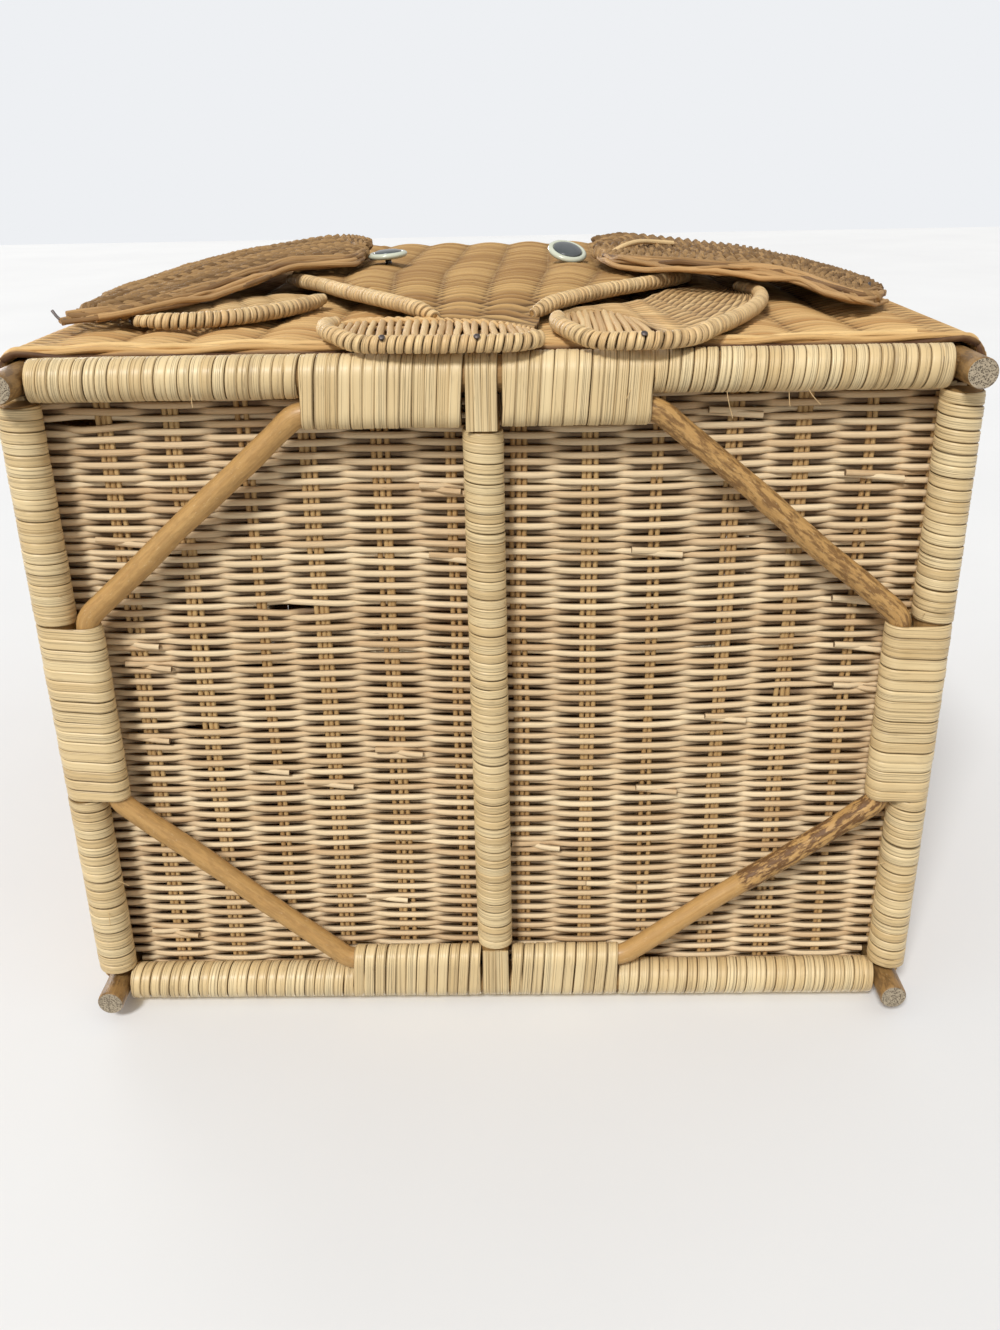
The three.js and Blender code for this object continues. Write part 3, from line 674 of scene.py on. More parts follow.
def strand_piece(name, lines, sides_round, finish, slot, *nodes):
    """A piece of the basket that is made of round strands."""
    piece = shaped(line_object(name, lines), strands, Sides=sides_round, Finish=finish)
    settle(piece, "basket", slot, *nodes)


# The outlines that strips are wound round, and the strip's own section

def ring_outline(name, points):
    points = np.column_stack([points, np.zeros(len(points))])
    count = len(points)
    made = new_object(name, points, [(i, (i + 1) % count) for i in range(count)])
    made.hide_render = True
    return made


def arc(x, y, radius, start, end, steps):
    turn = np.linspace(start, end, steps + 1)
    return np.column_stack([x + radius * np.cos(turn), y + radius * np.sin(turn)])


def round_outline(name, radius, start=0.0):
    """A circle that starts on the side where the windings' turns meet, 0 for the upper side."""
    return ring_outline(name, arc(0, 0, radius, start, start + 2 * math.pi, 48)[:-1])


def two_round_outline(name, first, place, second):
    """The outline drawn tight round two circles, the first one about the origin."""
    apart = math.hypot(*place)
    heading = math.atan2(place[1], place[0])
    tangent = math.acos((first - second) / apart)
    outline = arc(0, 0, first, heading + tangent, heading + 2 * math.pi - tangent, 30)
    outline = np.vstack([outline, arc(*place, second, heading - tangent, heading + tangent, 30)])
    outline = evenly(np.vstack([outline, outline[:1]]), 1.4)[:-1]
    return ring_outline(name, np.roll(outline, -np.argmax(outline[:, 0]), axis=0))


def strip_section(name, heights):
    """Height and width of a strip's section, each one across in all."""
    made = ring_outline(name, np.array(heights) / MM)
    add_values(made.data, "across", np.array(heights)[:, 1] * 2)
    return made


def mirrored(half):
    """A section from its right half, which starts under the middle and ends at the top of it."""
    return half + [(height, -across) for height, across in half[-2:0:-1]]


RING_INSET = 0.45
RING_REACH = 0.15
RING_SIZE = 0.975
STRIP_SHARE = 0.985

flat_section = strip_section("flat_section", mirrored(
    [(-0.5, 0), (-0.42, 0.46), (0.05, 0.5), (0.4, 0.42), (0.5, 0.29), (0.4, 0.14), (0.47, 0)]))
bead_section = strip_section("bead_section", mirrored(
    [(-0.5, 0), (-0.3, 0.5), (0.2, 0.45), (0.46, 0.26), (0.43, 0)]))


def wound(name, axes, outline, pitch, thickness, finish, steps=24, scatter=0.35, seed=1, core=0.0,
          section=flat_section):
    """A winding along each axis (points, up, size), with a ring under each end of a straight axis."""
    lines = []
    for points, up, size in axes:
        lines.append((points, {"up": up, "size": size}))
        if len(points) == 2:
            start, end = np.array(points, float)
            along = (end - start) / np.linalg.norm(end - start)
            for middle in (start + along * pitch * RING_INSET, end - along * pitch * RING_INSET):
                ring = np.array([middle - along * RING_REACH, middle + along * RING_REACH])
                lines.append((ring, {"up": up, "size": size * RING_SIZE}))
    made = line_object(name, lines)
    return shaped(made, winding, Outline=outline, Section=section, Steps=steps, Pitch=pitch * MM,
                  Width=pitch * STRIP_SHARE * MM, Thickness=thickness * MM, Scatter=scatter * MM,
                  Seed=seed, Core=core * MM, Finish=finish, Core_Finish=CORE)


# Bottom rails: bare cores, close windings, and the lashings round the ends of the braces

def box_mm(node):
    low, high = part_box(node)
    return np.array(low) / MM, np.array(high) / MM


def axis_of(node, side, height, inset=0.6):
    """The middle line of a piece that lies along a side, on the rail's own line."""
    low, high = box_mm(node)
    if sides[side] % 2 == 0:
        y = front_y if side == "front" else back_y
        line = [(low[0] + inset, y, height), (high[0] - inset, y, height)]
    else:
        x = half_x if side == "right" else -half_x
        line = [(x, low[1] + inset, height), (x, high[1] - inset, height)]
    if side in ("back", "left"):
        line = line[::-1]
    return np.array(line)


binding_low, binding_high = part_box("binding_front_left")
rail_radius = (binding_high.z - binding_low.z) / 2 / MM
strip_thickness = 1.5
rail_ring = round_outline("rail_ring", rail_radius - strip_thickness / 2)
strip_pitch = 5.2

binding_sides = {
    "binding_front_left": "front", "binding_front_right": "front",
    "binding_right_front": "right", "binding_right_back": "right",
    "binding_back_right": "back", "binding_back_left": "back",
    "binding_left_back": "left", "binding_left_front": "left",
}
lashing_sides = {
    "lashing_front_left": "front", "lashing_front_right": "front", "lashing_right": "right",
    "lashing_back_right": "back", "lashing_back_left": "back", "lashing_left": "left",
}


def bottom_windings():
    up = (0, 0, 1)
    axes = [(axis_of(node, side, rail_height), up, 1.0) for node, side in binding_sides.items()]
    piece = wound("bottom_rail_windings", axes, rail_ring, strip_pitch, strip_thickness, STRAW, seed=3)
    settle(piece, "basket", "binding", *binding_sides)


def lashings():
    brace_place = (-3.0, 15.55)
    loop = two_round_outline("lashing_loop", rail_radius - strip_thickness / 2, brace_place, 6.55)
    axes = [(axis_of(node, side, rail_height), (0, 0, 1), 1.0) for node, side in lashing_sides.items()]
    piece = wound("brace_lashings", axes, loop, 5.5, strip_thickness, STRAW, steps=36, scatter=0.45, seed=11)
    settle(piece, "basket", "binding", *lashing_sides)


def stretcher_winding():
    low, high = box_mm("stretcher_binding")
    radius = (high[0] - low[0]) / 2
    x = (low[0] + high[0]) / 2
    ring = round_outline("stretcher_ring", radius - strip_thickness / 2)
    line = [(x, low[1] + 0.6, rail_height), (x, high[1] - 0.6, rail_height)]
    piece = wound("stretcher_winding", [(line, (0, 0, 1), 1.0)], ring, 4.6, strip_thickness, STRAW, seed=19)
    settle(piece, "basket", "binding", "stretcher_binding")


def bare_canes():
    """The rails and the stretcher show through the chinks between their windings."""
    for name in [f"bottom_rail_{side}" for side in sides] + ["stretcher"]:
        mesh = bpy.data.objects[name].data
        mesh.materials.clear()
        mesh.materials.append(CORE)


bottom_windings()
lashings()
stretcher_winding()
bare_canes()


# Bare cane: posts and braces

def posts():
    """The corner posts, whose sawn lower ends are the feet."""
    nodes = ["post_front_left", "post_front_right", "post_back_left", "post_back_right"]
    lines = []
    for node in nodes:
        low, high = box_mm(node)
        x = (low[0] + high[0]) / 2
        y = (low[1] + high[1]) / 2
        heights = np.concatenate([[low[2], 0.5, 1.4], np.arange(6, high[2] - 3, 6), [high[2] - 0.6, high[2]]])
        count = len(heights)
        radius = 6.85 + wander(count, 0.1, 4)
        radius[0] = 6.3
        radius[1] = 6.7
        radius[-1] = 6.2
        line = np.column_stack([np.full(count, x), np.full(count, y), heights])
        lines.append(reed(line, radius, bark=0.75, sawn=1.0))
    strand_piece("corner_posts", lines, 24, POST, "post", *nodes)


posts()


def rounded_corners(corners, bend):
    """The line through the corners with each inner corner turned over a short bend."""
    corners = [np.array(corner, float) for corner in corners]
    line = [corners[0]]
    for before, corner, after in zip(corners, corners[1:], corners[2:]):
        start = corner + (before - corner) * bend / np.linalg.norm(before - corner)
        end = corner + (after - corner) * bend / np.linalg.norm(after - corner)
        for t in np.linspace(0, 1, 9):
            line.append((1 - t) ** 2 * start + 2 * t * (1 - t) * corner + t * t * end)
    line.append(corners[-1])
    return np.array(line)


def braces():
    """Four braces, each bent once after the lashing at either end."""
    inset = rail_radius + 0.3 + 5.5
    lashed = 33.7
    past = 2.6
    height = centre("brace_front_left").z
    ends = {
        "brace_front_left": ("lashing_front_left", "lashing_left", -1, -1, 0.25),
        "brace_front_right": ("lashing_front_right", "lashing_right", 1, -1, 1.0),
        "brace_back_left": ("lashing_back_left", "lashing_left", -1, 1, 0.3),
        "brace_back_right": ("lashing_back_right", "lashing_right", 1, 1, 0.9),
    }
    lines = []
    for node, (across, along, right, back, bark) in ends.items():
        end_x = box_mm(across)[right > 0][0]
        end_y = box_mm(along)[back > 0][1]
        x = right * (half_x - inset)
        y = middle_y + back * (half_y - inset)
        corners = [(end_x - right * lashed, y, height), (end_x + right * past, y, height),
                   (x, end_y + back * past, height), (x, end_y - back * lashed, height)]
        line = evenly(rounded_corners(corners, 5.5), 2.6)
        count = len(line)
        free = np.sin(np.linspace(0, math.pi, count)) ** 0.5
        line[:, :2] += np.column_stack([wander(count, 0.35, 9), wander(count, 0.35, 9)]) * free[:, None]
        radius = 5.4 + wander(count, 0.13, 5)
        left_on = np.full(count, bark)
        if node == "brace_back_right":
            left_on = np.where(line[:, 0] > 128, 1.6, 0.15)
            radius = radius + np.where(line[:, 0] > 128, 0.15, -0.15)
        lines.append(reed(line, radius, bark=left_on, sawn=0.0))
    strand_piece("corner_braces", lines, 18, CANE, "cane", *ends)


braces()


def stretcher_ties():
    """Four flat strips side by side, round each rail and back along the stretcher."""
    low, high = box_mm("stretcher_tie_front")
    x = (low[0] + high[0]) / 2
    radius = rail_radius - strip_thickness / 2
    end = high[1] - front_y - 0.3
    lines = []
    for side, middle in (("front", x), ("back", -x)):
        for number, place in enumerate((-5.1, -1.7, 1.8, 5.2)):
            out = radius - 0.22 * (number % 2)
            straight = np.column_stack([np.linspace(end, 1, 8), np.full(8, -out)])
            turn = arc(0, 0, out, -math.pi / 2, -1.5 * math.pi, 22)
            back = np.column_stack([np.linspace(1, end, 8), np.full(8, out)])
            route = np.vstack([straight, turn, back])
            count = len(route)
            across = middle + place + wander(count, 0.12, 8) + np.linspace(-0.3, 0.3, count)
            line = np.column_stack([across, route[:, 0], route[:, 1] + rail_height])
            heading = np.gradient(route, axis=0)
            facing = np.column_stack([np.zeros(count), heading[:, 1], -heading[:, 0]])
            facing = np.array([side_direction(side, tuple(-row)) for row in facing])
            lines.append((on_side(side, line), {"facing": facing, "turn": chance.random()}))
    piece = line_object("stretcher_ties", lines)
    shaped(piece, ribbons, Section=flat_section, Width=3.6 * MM, Thickness=1.25 * MM, Finish=STRAW)
    settle(piece, "basket", "binding", "stretcher_tie_front", "stretcher_tie_back")


def ribbon_shape():
    """A flat strip along each line, with its crowned side the way that the line's points face."""
    shape = Shape("ribbons", Section="Object", Width="Float", Thickness="Float", Finish="Material")
    lines = shape.with_run(shape.curves(shape.given("Geometry")))
    lines = shape.node("GeometryNodeSetCurveNormal", {"mode": "FREE"},
                       {"Curve": lines, "Normal": shape.read("facing", "FLOAT_VECTOR")})
    shape.finish(shape.swept(lines, shape.given_section(), "Finish"))
    return shape


ribbons = ribbon_shape()
stretcher_ties()


# The woven bottom

STAKES = (-206, -175, -144, -112, -83, -50, -18, 13, 46, 77, 112, 143, 173, 204)
CUT_ENDS = ((-173, -72), (-176, -21), (-170, -8), (-175, 31), (-49, 39), (-116, 50), (-86, 60), (-18, -63),
            (78, -66), (175, -39), (178, -15), (115, 21), (142, 50), (82, 61), (111, -129), (176, -101),
            (14, -100), (-177, 150), (150, 150), (-23, -96), (180, 6), (60, 120), (-60, 130), (20, 95))
PARTED = ((-95, -38, 1.9), (145, 8, 1.6), (-147, 25, 1.0), (-186, -128, 1.8))
ROW_RADIUS = 1.72


def bottom_rows():
    """The bottom's rows, which wave over and under the stakes and part in a few places."""
    low, high = box_mm("bottom_panel")
    pitch = 3.05
    middle = (low[2] + high[2]) / 2
    swing = (high[2] - low[2]) / 2 - ROW_RADIUS
    count = int((high[1] - low[1] - 2 * ROW_RADIUS) / pitch) + 1
    spare = (high[1] - low[1] - 2 * ROW_RADIUS - pitch * (count - 1)) / 2
    stakes = np.array((-238,) + STAKES + (236,), float)
    numbers = np.arange(len(stakes)) - 1
    start, end = np.interp([low[0] + ROW_RADIUS, high[0] - ROW_RADIUS], stakes, numbers)
    at = np.linspace(start, end, 89)
    x = np.interp(at, numbers, stakes)
    wave = np.tanh(1.9 * np.cos(math.pi * at)) / math.tanh(1.9)
    droop = 1.3 * np.sin(x / 74 + 0.6) + 0.8 * np.sin(x / 31)
    lines = []
    for row in range(count):
        y = low[1] + ROW_RADIUS + pitch * row + spare
        sign = 1 if row % 2 else -1
        z = middle + swing * sign * wave
        inside = math.sin(math.pi * (row + 0.5) / count) ** 0.4
        shift = droop * inside * (1 - 0.2 * math.sin(row / 9)) + wander(len(x), 0.16, 4) * inside
        line_y = y + shift
        for px, py, gap in PARTED:
            near = np.exp(-((x - px) / 15) ** 2 - np.abs(line_y - py) / 5)
            line_y = line_y + np.where(line_y > py, gap, -gap) * near
        # Painted shade on the parts of a row that pass in behind the stakes.
        behind = np.clip(sign * wave * 1.2, 0, 1) * 0.8
        line = np.column_stack([x, line_y, z])
        for post in (front_y, back_y):
            if abs(y - post) < 9.5:
                between_posts = np.abs(line[:, 0]) < 198.5
                behind = behind[between_posts]
                line = line[between_posts]
        lines += cut_where_spliced(line, behind, y, pitch, middle - swing)
    strand_piece("bottom_rows", lines, 7, REED, "reed", "bottom_panel")


def cut_where_spliced(line, behind, y, pitch, face):
    """A row as one line, or as two whose ends pass each other where a new reed was laid in."""
    whole = reed(line, ROW_RADIUS, valley=behind)
    for cut_x, cut_y in CUT_ENDS:
        if abs(y - cut_y) < pitch / 2:
            reach = 8 + 4 * chance.random()
            parts = []
            left = line[line[:, 0] < cut_x + reach]
            right = line[line[:, 0] > cut_x - reach][::-1]
            for part, way in ((left, 1), (right, -1)):
                part = np.vstack([part, [cut_x + way * (reach + 1.5), part[-1][1], part[-1][2]]])
                near = np.clip(1 - np.abs(part[:, 0] - part[-1][0]) / 22, 0, 1)
                part[:, 1] += way * 1.5 * near
                lift = np.clip(near * 1.6, 0, 1)
                part[:, 2] = part[:, 2] * (1 - lift) + (face - 1.1 - 1.3 * near) * lift
                parts.append(reed(part, 1.6, valley=0.0))
            return parts
    return [whole]


def bottom_stakes():
    """The bottom's stakes, two or three reeds side by side in each place."""
    low, high = box_mm("bottom_panel")
    middle = (low[2] + high[2]) / 2
    lines = []
    for number, place in enumerate(STAKES):
        offsets = (-2.6, 0.0, 2.7) if number % 3 else (-1.5, 1.6)
        for offset in offsets:
            y = np.arange(low[1] + 2, high[1] - 1, 6.1)
            if abs(place) > 195:
                y = y[(y > front_y + 9) & (y < back_y - 9)]
            count = len(y)
            x = place + offset + wander(count, 0.45, 7)
            z = middle + wander(count, 0.12, 4)
            lines.append(reed(np.column_stack([x, y, z]), 1.28))
    strand_piece("bottom_stakes", lines, 7, STAKE, "reed")


bottom_rows()
bottom_stakes()


# Top rails, lid rails and hinge loops

def rail_frame(name, prefix, body, pitch, thickness, **options):
    """The windings of the four rails of a frame."""
    nodes = [f"{prefix}_{side}" for side in sides]
    axes = [(axis_of(node, side, centre(node).z, 0.8), (0, 0, 1), 1.0) for side, node in zip(sides, nodes)]
    low, high = box_mm(nodes[0])
    ring = round_outline(name + "_ring", (high[2] - low[2]) / 2 - thickness / 2, math.pi)
    piece = wound(name, axes, ring, pitch, thickness, STRAW, **options)
    settle(piece, body, "binding", *nodes)


def hinge_loops():
    top = centre("top_rail_back").z
    lid = centre("lid_rail_back").z
    loop = two_round_outline("hinge_loop_ring", rail_radius + 1.3, (lid - top, 0), 8.6)
    axes = []
    for node in ("hinge_loop_left", "hinge_loop_right"):
        low, high = box_mm(node)
        axes.append(([(high[0] - 0.3, back_y, top), (low[0] + 0.3, back_y, top)], (0, 0, 1), 1.0))
    piece = wound("hinge_loop_strips", axes, loop, 3.9, 1.45, STRAW, steps=34, scatter=0.15, seed=41)
    settle(piece, "lid", "binding", "hinge_loop_left", "hinge_loop_right")


rail_frame("top_rail_windings", "top_rail", "basket", 5.2, 1.5, steps=18, seed=23, core=8.1)
rail_frame("lid_rail_windings", "lid_rail", "lid", 4.8, 1.3, steps=16, seed=29, core=6.1)
hinge_loops()


# Woven sheets

def sheet_shape():
    """Reeds on a sheet, each of which swings out before one stake and in behind the next."""
    shape = Shape("woven_sheet", Pitch="Float", Spread="Float", Relief="Float", Seed="Int", Finish="Material")
    lay = shape.read("lay")
    edge = shape.read("edge")
    skin = shape.read("skin")
    reed = shape.maths("FLOOR", lay)
    share = shape.maths("FRACT", lay)
    wave = shape.maths("COSINE", (shape.read("stake") + reed) * math.pi)
    arch = shape.maths("POWER", shape.maths("SINE", share * math.pi), 0.35)
    bead = shape.maths("POWER", shape.maths("SINE", share * math.pi), 0.7)
    swing = wave * arch * shape.read("swing")
    outer = swing + bead * shape.given("Relief")
    inner = swing * 0.9 - bead * shape.given("Relief") * 0.7
    out = (outer * skin + inner * (1 - skin)) * edge
    slide = wave * (share - 0.5) * shape.given("Spread") * shape.given("Pitch") * edge
    moved = shape.read("outward", "FLOAT_VECTOR") * out + shape.read("across", "FLOAT_VECTOR") * slide
    # Painted shade: dark in the grooves between strands, and darker where a band dips away from this skin's
    # face behind a stake.
    behind = shape.maths("MAXIMUM", 0.45 - wave * (skin * 2 - 1), 0.0)
    sheet = shape.stored(shape.given("Geometry"), "valley", (1 - bead) * 0.8 + behind * 0.32)
    sheet = shape.stored(sheet, "tone", shape.random(0.0, 1.0, reed, shape.given("Seed")))
    sheet = shape.stored(sheet, "around", shape.vector(share * 2, 0.0, 0.0), "FLOAT_VECTOR")
    sheet = shape.node("GeometryNodeSetPosition", values={"Geometry": sheet, "Offset": moved})
    shape.finish(shape.painted(sheet, "Finish"))
    return shape


sheets = sheet_shape()


def border(first, rows, columns):
    """The ids round the edge of a grid of points, each with how far round it is, from 0 to 4."""
    grid = first + np.arange(rows * columns).reshape(rows, columns)
    edges = (grid[0], grid[:, -1], grid[-1, ::-1], grid[::-1, 0])
    places = []
    for side, edge in enumerate(edges):
        places += [(side + k / (len(edge) - 1), int(point)) for k, point in enumerate(edge[:-1])]
    return places


def zipped(first, second):
    """Triangles that join two closed borders."""
    first = first + [(4 + first[0][0], first[0][1])]
    second = second + [(4 + second[0][0], second[0][1])]
    faces = []
    i = j = 0
    while i < len(first) - 1 or j < len(second) - 1:
        step = j == len(second) - 1 or (i < len(first) - 1 and first[i + 1][0] <= second[j + 1][0])
        if step:
            faces.append((first[i][1], first[i + 1][1], second[j][1]))
            i += 1
        else:
            faces.append((first[i][1], second[j + 1][1], second[j][1]))
            j += 1
    return faces


def grid_faces(first, rows, columns):
    a = (first + np.arange(rows * columns).reshape(rows, columns))[:-1, :-1].ravel()
    return np.column_stack([a, a + 1, a + columns + 1, a + columns])


def sheet_object(name, outer, inner):
    """A closed sheet from two skins. A skin is a dict of arrays, one row for each line of its grid."""
    rows, columns = outer["run"].shape
    inner_rows, inner_columns = inner["run"].shape
    first = rows * columns
    points = np.concatenate([outer["points"].reshape(-1, 3), inner["points"].reshape(-1, 3)])
    values = {}
    for label in ("run", "stake", "lay", "edge", "swing"):
        values[label] = np.concatenate([outer[label].ravel(), inner[label].ravel()])
    for label in ("outward", "across"):
        values[label] = np.concatenate([outer[label].reshape(-1, 3), inner[label].reshape(-1, 3)])
    values["skin"] = np.concatenate([np.ones(first), np.zeros(inner_rows * inner_columns)])
    values["run"] = values["run"] * MM
    values["swing"] = values["swing"] * MM
    front = grid_faces(0, rows, columns)
    back = grid_faces(first, inner_rows, inner_columns)[:, ::-1]
    rim = np.array(zipped(border(0, rows, columns), border(first, inner_rows, inner_columns)))[:, ::-1]
    a, b, _, d = points[front[len(front) // 2]]
    facing = np.cross(b - a, d - a) @ outer["outward"].reshape(-1, 3)[front[len(front) // 2][0]]
    faces = [front, back, rim]
    if facing < 0:
        faces = [face[:, ::-1] for face in faces]
    return new_object(name, points, faces=[face for group in faces for face in group.tolist()], **values)


def spread_skin(points, outward, across, **values):
    """A skin of a sheet: its grid of points, with directions and values spread over the whole grid."""
    skin = {label: np.broadcast_to(value, points.shape[:2]) for label, value in values.items()}
    skin["points"] = points
    skin["outward"] = np.broadcast_to(outward, points.shape)
    skin["across"] = np.broadcast_to(across, points.shape)
    return skin


def strand_rows(count, rows_each):
    """Places across the strands, in strands, a few for each."""
    return np.linspace(0, count, count * rows_each + 1)


def strand_middles(count):
    """The middle of each strand, in strands, and the two edges of the sheet."""
    return np.concatenate([[0.0], np.arange(count) + 0.5, [count]])


def woven(name, outer, inner, finish, pitch, spread=0.6, relief=0.5, seed=1):
    made = sheet_object(name, outer, inner)
    return shaped(made, sheets, Pitch=pitch * MM, Spread=spread, Relief=relief * MM, Seed=seed, Finish=finish)




WALL_PITCH = 3.8
WALL_SWING = 2.7
WALL_TURN = math.radians(44.7)
TURN_SHARE = 0.3
POST_TO_FACE = 12.3
LID_SWING = 1.6
STAKE_GAP = 30.7
STAKES_ALONG_FRONT = 14
STAKES_ALONG_SIDE = 11
LOOP_PLACES = (-112, 112)
WALL_NOTCH_REACH = 11.2
WALL_NOTCH_DEPTH = 3.8
LID_NOTCH_REACH = 8.2
LID_NOTCH_DEPTH = 3.2


def wall_skin(name, inset, lays, stake_count, per_stake, low, high, notches):
    """One face of a wall, which is flat between its posts and goes part of the way round each of them."""
    half = half_length(name)
    stakes = np.linspace(0, stake_count, stake_count * per_stake + 1)
    left = np.clip(1 - stakes / TURN_SHARE, 0, 1)
    right = np.clip(1 - (stake_count - stakes) / TURN_SHARE, 0, 1)
    angle = (right - left) * WALL_TURN
    along = np.clip((stakes - TURN_SHARE) / (stake_count - 2 * TURN_SHARE), 0, 1) * 2 * half - half
    flat = np.zeros(len(stakes))
    outward = np.column_stack([np.sin(angle), -np.cos(angle), flat])
    room = np.clip(np.minimum(stakes, stake_count - stakes) / 0.9 - 0.2, 0.16, 1)
    radius = POST_TO_FACE - 0.5 - WALL_SWING * room - inset
    base = np.column_stack([along, flat, flat]) + outward * radius[:, None]
    count = lays[-1]
    heights = low + (high - low) * lays / count
    points = np.repeat(base[None], len(lays), axis=0)
    points[:, :, 2] = heights[:, None]
    for notch in notches:
        near = np.abs(along - notch) < WALL_NOTCH_REACH
        points[:, near, 2] = np.minimum(points[:, near, 2], high - WALL_NOTCH_DEPTH)
    fade = np.clip(np.minimum(heights - low, high - heights) / 4, 0, 1) ** 0.7
    edge = (0.25 + 0.75 * fade)[:, None]
    outward = np.array([side_direction(name, direction) for direction in outward])
    return spread_skin(on_side(name, points), outward, UP, run=stakes * STAKE_GAP, stake=stakes,
                       lay=lays[:, None], edge=edge, swing=room * WALL_SWING)


def walls():
    for number, name in enumerate(sides):
        node = "wall_" + name
        low, high = box_mm(node)
        stake_count = STAKES_ALONG_FRONT if sides[name] % 2 == 0 else STAKES_ALONG_SIDE
        notches = LOOP_PLACES if name == "back" else ()
        count = round((high[2] - low[2]) / WALL_PITCH)
        outer = wall_skin(name, 0, strand_rows(count, 5), stake_count, 10, low[2], high[2], notches)
        inner = wall_skin(name, 2.4, strand_middles(count), stake_count, 4, low[2], high[2], notches)
        piece = woven(f"{name}_wall_weave", outer, inner, WALL, WALL_PITCH, seed=50 + number)
        settle(piece, "basket", "wall", node)


def edge_reeds():
    """Long reeds that lie along the lower edge of each wall and turn round its posts."""
    steps = 120
    bend_steps = 8
    round_post = math.radians(44)
    lines = []
    for name in sides:
        low, _ = box_mm("wall_" + name)
        half = half_length(name)
        for row, (lift, reach) in enumerate(((1.7, 0.0), (4.6, 0.0), (8.4, 0.1))):
            left = round_post * np.linspace(1, 0, bend_steps, endpoint=False)
            right = round_post * np.linspace(0, 1, bend_steps + 1)[1:]
            angle = np.concatenate([-left, np.zeros(steps), right])
            along = np.concatenate([np.full(bend_steps, -half), np.linspace(-half, half, steps),
                                    np.full(bend_steps, half)])
            count = len(along)
            free = np.clip((np.abs(along - 34) - 105) / 20, 0, 1) * 0.55 if name == "front" else 0.2
            depth = 10.6 + free * row + wander(count, 0.35, 9)
            depth += 0.8 * np.sin(math.pi * (along / STAKE_GAP + row)) * np.clip(8 - np.abs(angle) * 20, 0, 1)
            sway = 1.2 * np.sin(along / 46 + 2.1 * row + sides[name])
            height = low[2] + lift + wander(count, 0.7, 9) + sway
            line = np.column_stack([along + np.sin(angle) * depth, -np.cos(angle) * depth,
                                    np.maximum(height, low[2] + 1.5)])
            kept = on_side(name, line)[int(reach * count * chance.random()):count - int(reach * count)]
            lines.append(reed(kept, 1.35 + 0.15 * chance.random()))
    strand_piece("wall_edge_reeds", lines, 8, EDGE, "wall")


def lid_sheet():
    low, high = box_mm("lid_panel")
    """The lid's panel, notched for the hinge loops."""
    stake_count = 13

    def skin(height, lays, per_stake):
        stakes = np.linspace(0, stake_count, stake_count * per_stake + 1)
        x = low[0] + (high[0] - low[0]) * stakes / stake_count
        y = low[1] + (high[1] - low[1]) * lays / lays[-1]
        grid_y, grid_x = np.meshgrid(y, x, indexing="ij")
        for notch in LOOP_PLACES:
            near = np.abs(grid_x - notch) < LID_NOTCH_REACH
            grid_y = np.where(near, np.minimum(grid_y, high[1] - LID_NOTCH_DEPTH), grid_y)
        points = np.stack([grid_x, grid_y, np.full(grid_x.shape, height)], axis=-1)
        fade_x = np.clip(np.minimum(grid_x - low[0], high[0] - grid_x) / 5, 0, 1)
        fade_y = np.clip(np.minimum(grid_y - low[1], high[1] - grid_y) / 5, 0, 1)
        return spread_skin(points, UP, -FORWARD, run=stakes * STAKE_GAP, stake=stakes, lay=lays[:, None],
                           edge=fade_x * fade_y, swing=LID_SWING)

    count = round((high[1] - low[1]) / WALL_PITCH)
    outer = skin(high[2] - 0.5 - LID_SWING, strand_rows(count, 5), 10)
    inner = skin(low[2] + 0.4 + LID_SWING, strand_middles(count), 4)
    piece = woven("lid_weave", outer, inner, WALL, WALL_PITCH, seed=61)
    settle(piece, "lid", "wall", "lid_panel")


walls()
edge_reeds()
lid_sheet()


# The elephant. Its points are (x, height above the middle of the bottom rails, air behind the piece).

wall_face = box_mm("wall_front")[0][1]
rail_face = front_y - rail_radius
wall_start = box_mm("wall_front")[0][2] - rail_height


def before_wall(points, thickness):
    """Points in front of the wall, or of the rail below it, at the middle of a piece's thickness."""
    points = np.asarray(points, float)
    x, height, clear = points.T
    share = np.clip((height + 4) / wall_start, 0, 1)
    face = rail_face + (wall_face - rail_face) * share
    return np.column_stack([x, face - clear - thickness / 2, height + rail_height])


def grid_before_wall(x, height, clear):
    """Grids of places across, heights and air behind, as points in front of the wall."""
    flat = np.column_stack([np.broadcast_to(part, x.shape).ravel() for part in (x, height, clear)])
    return before_wall(flat, 0).reshape(*x.shape, 3)


def with_clear(points, clear):
    return [(x, height, clear) for x, height in points]


RIM_RADIUS = 2.95
RIM_PITCH = 3.7
RIM_THICKNESS = 2.2
HEAD_PITCH = 4.2
FLAT_CREST = 10.7

HEAD_RIM_LEFT = [(-120, 208, 4.4), (-97, 174, 4.4), (-79, 140, 4.2), (-56, 102, 4), (-36, 71, 3.2),
                 (-25, 58, 0.4)]
HEAD_RIM_RIGHT = [(112, 182, 4.4), (81, 146, 4.4), (58, 119, 4.2), (41, 93, 4), (30, 75, 3.4), (21, 60, 0.6)]
TRUNK_RIM = with_clear([(-70, 43), (-73, 30), (-71, 15), (-65, 3), (-54, -6.5), (-32, -11), (-6, -11.5),
                        (14, -10), (24, -2)], 0.7)
FOOT_RIM_LEFT = with_clear([(-168, 59), (-148, 56), (-129, 63), (-112, 80), (-97, 110), (-90, 138)], 0.7)
FOOT_RIM_RIGHT = with_clear([(33, 52), (32, 30), (34, 14), (38.5, 2), (47, -7.5), (60, -11), (76, -10.5),
                             (89, -3), (100, 9), (111, 30), (127, 68), (138, 106), (142, 140),
                             (136, 164)], 0.7)


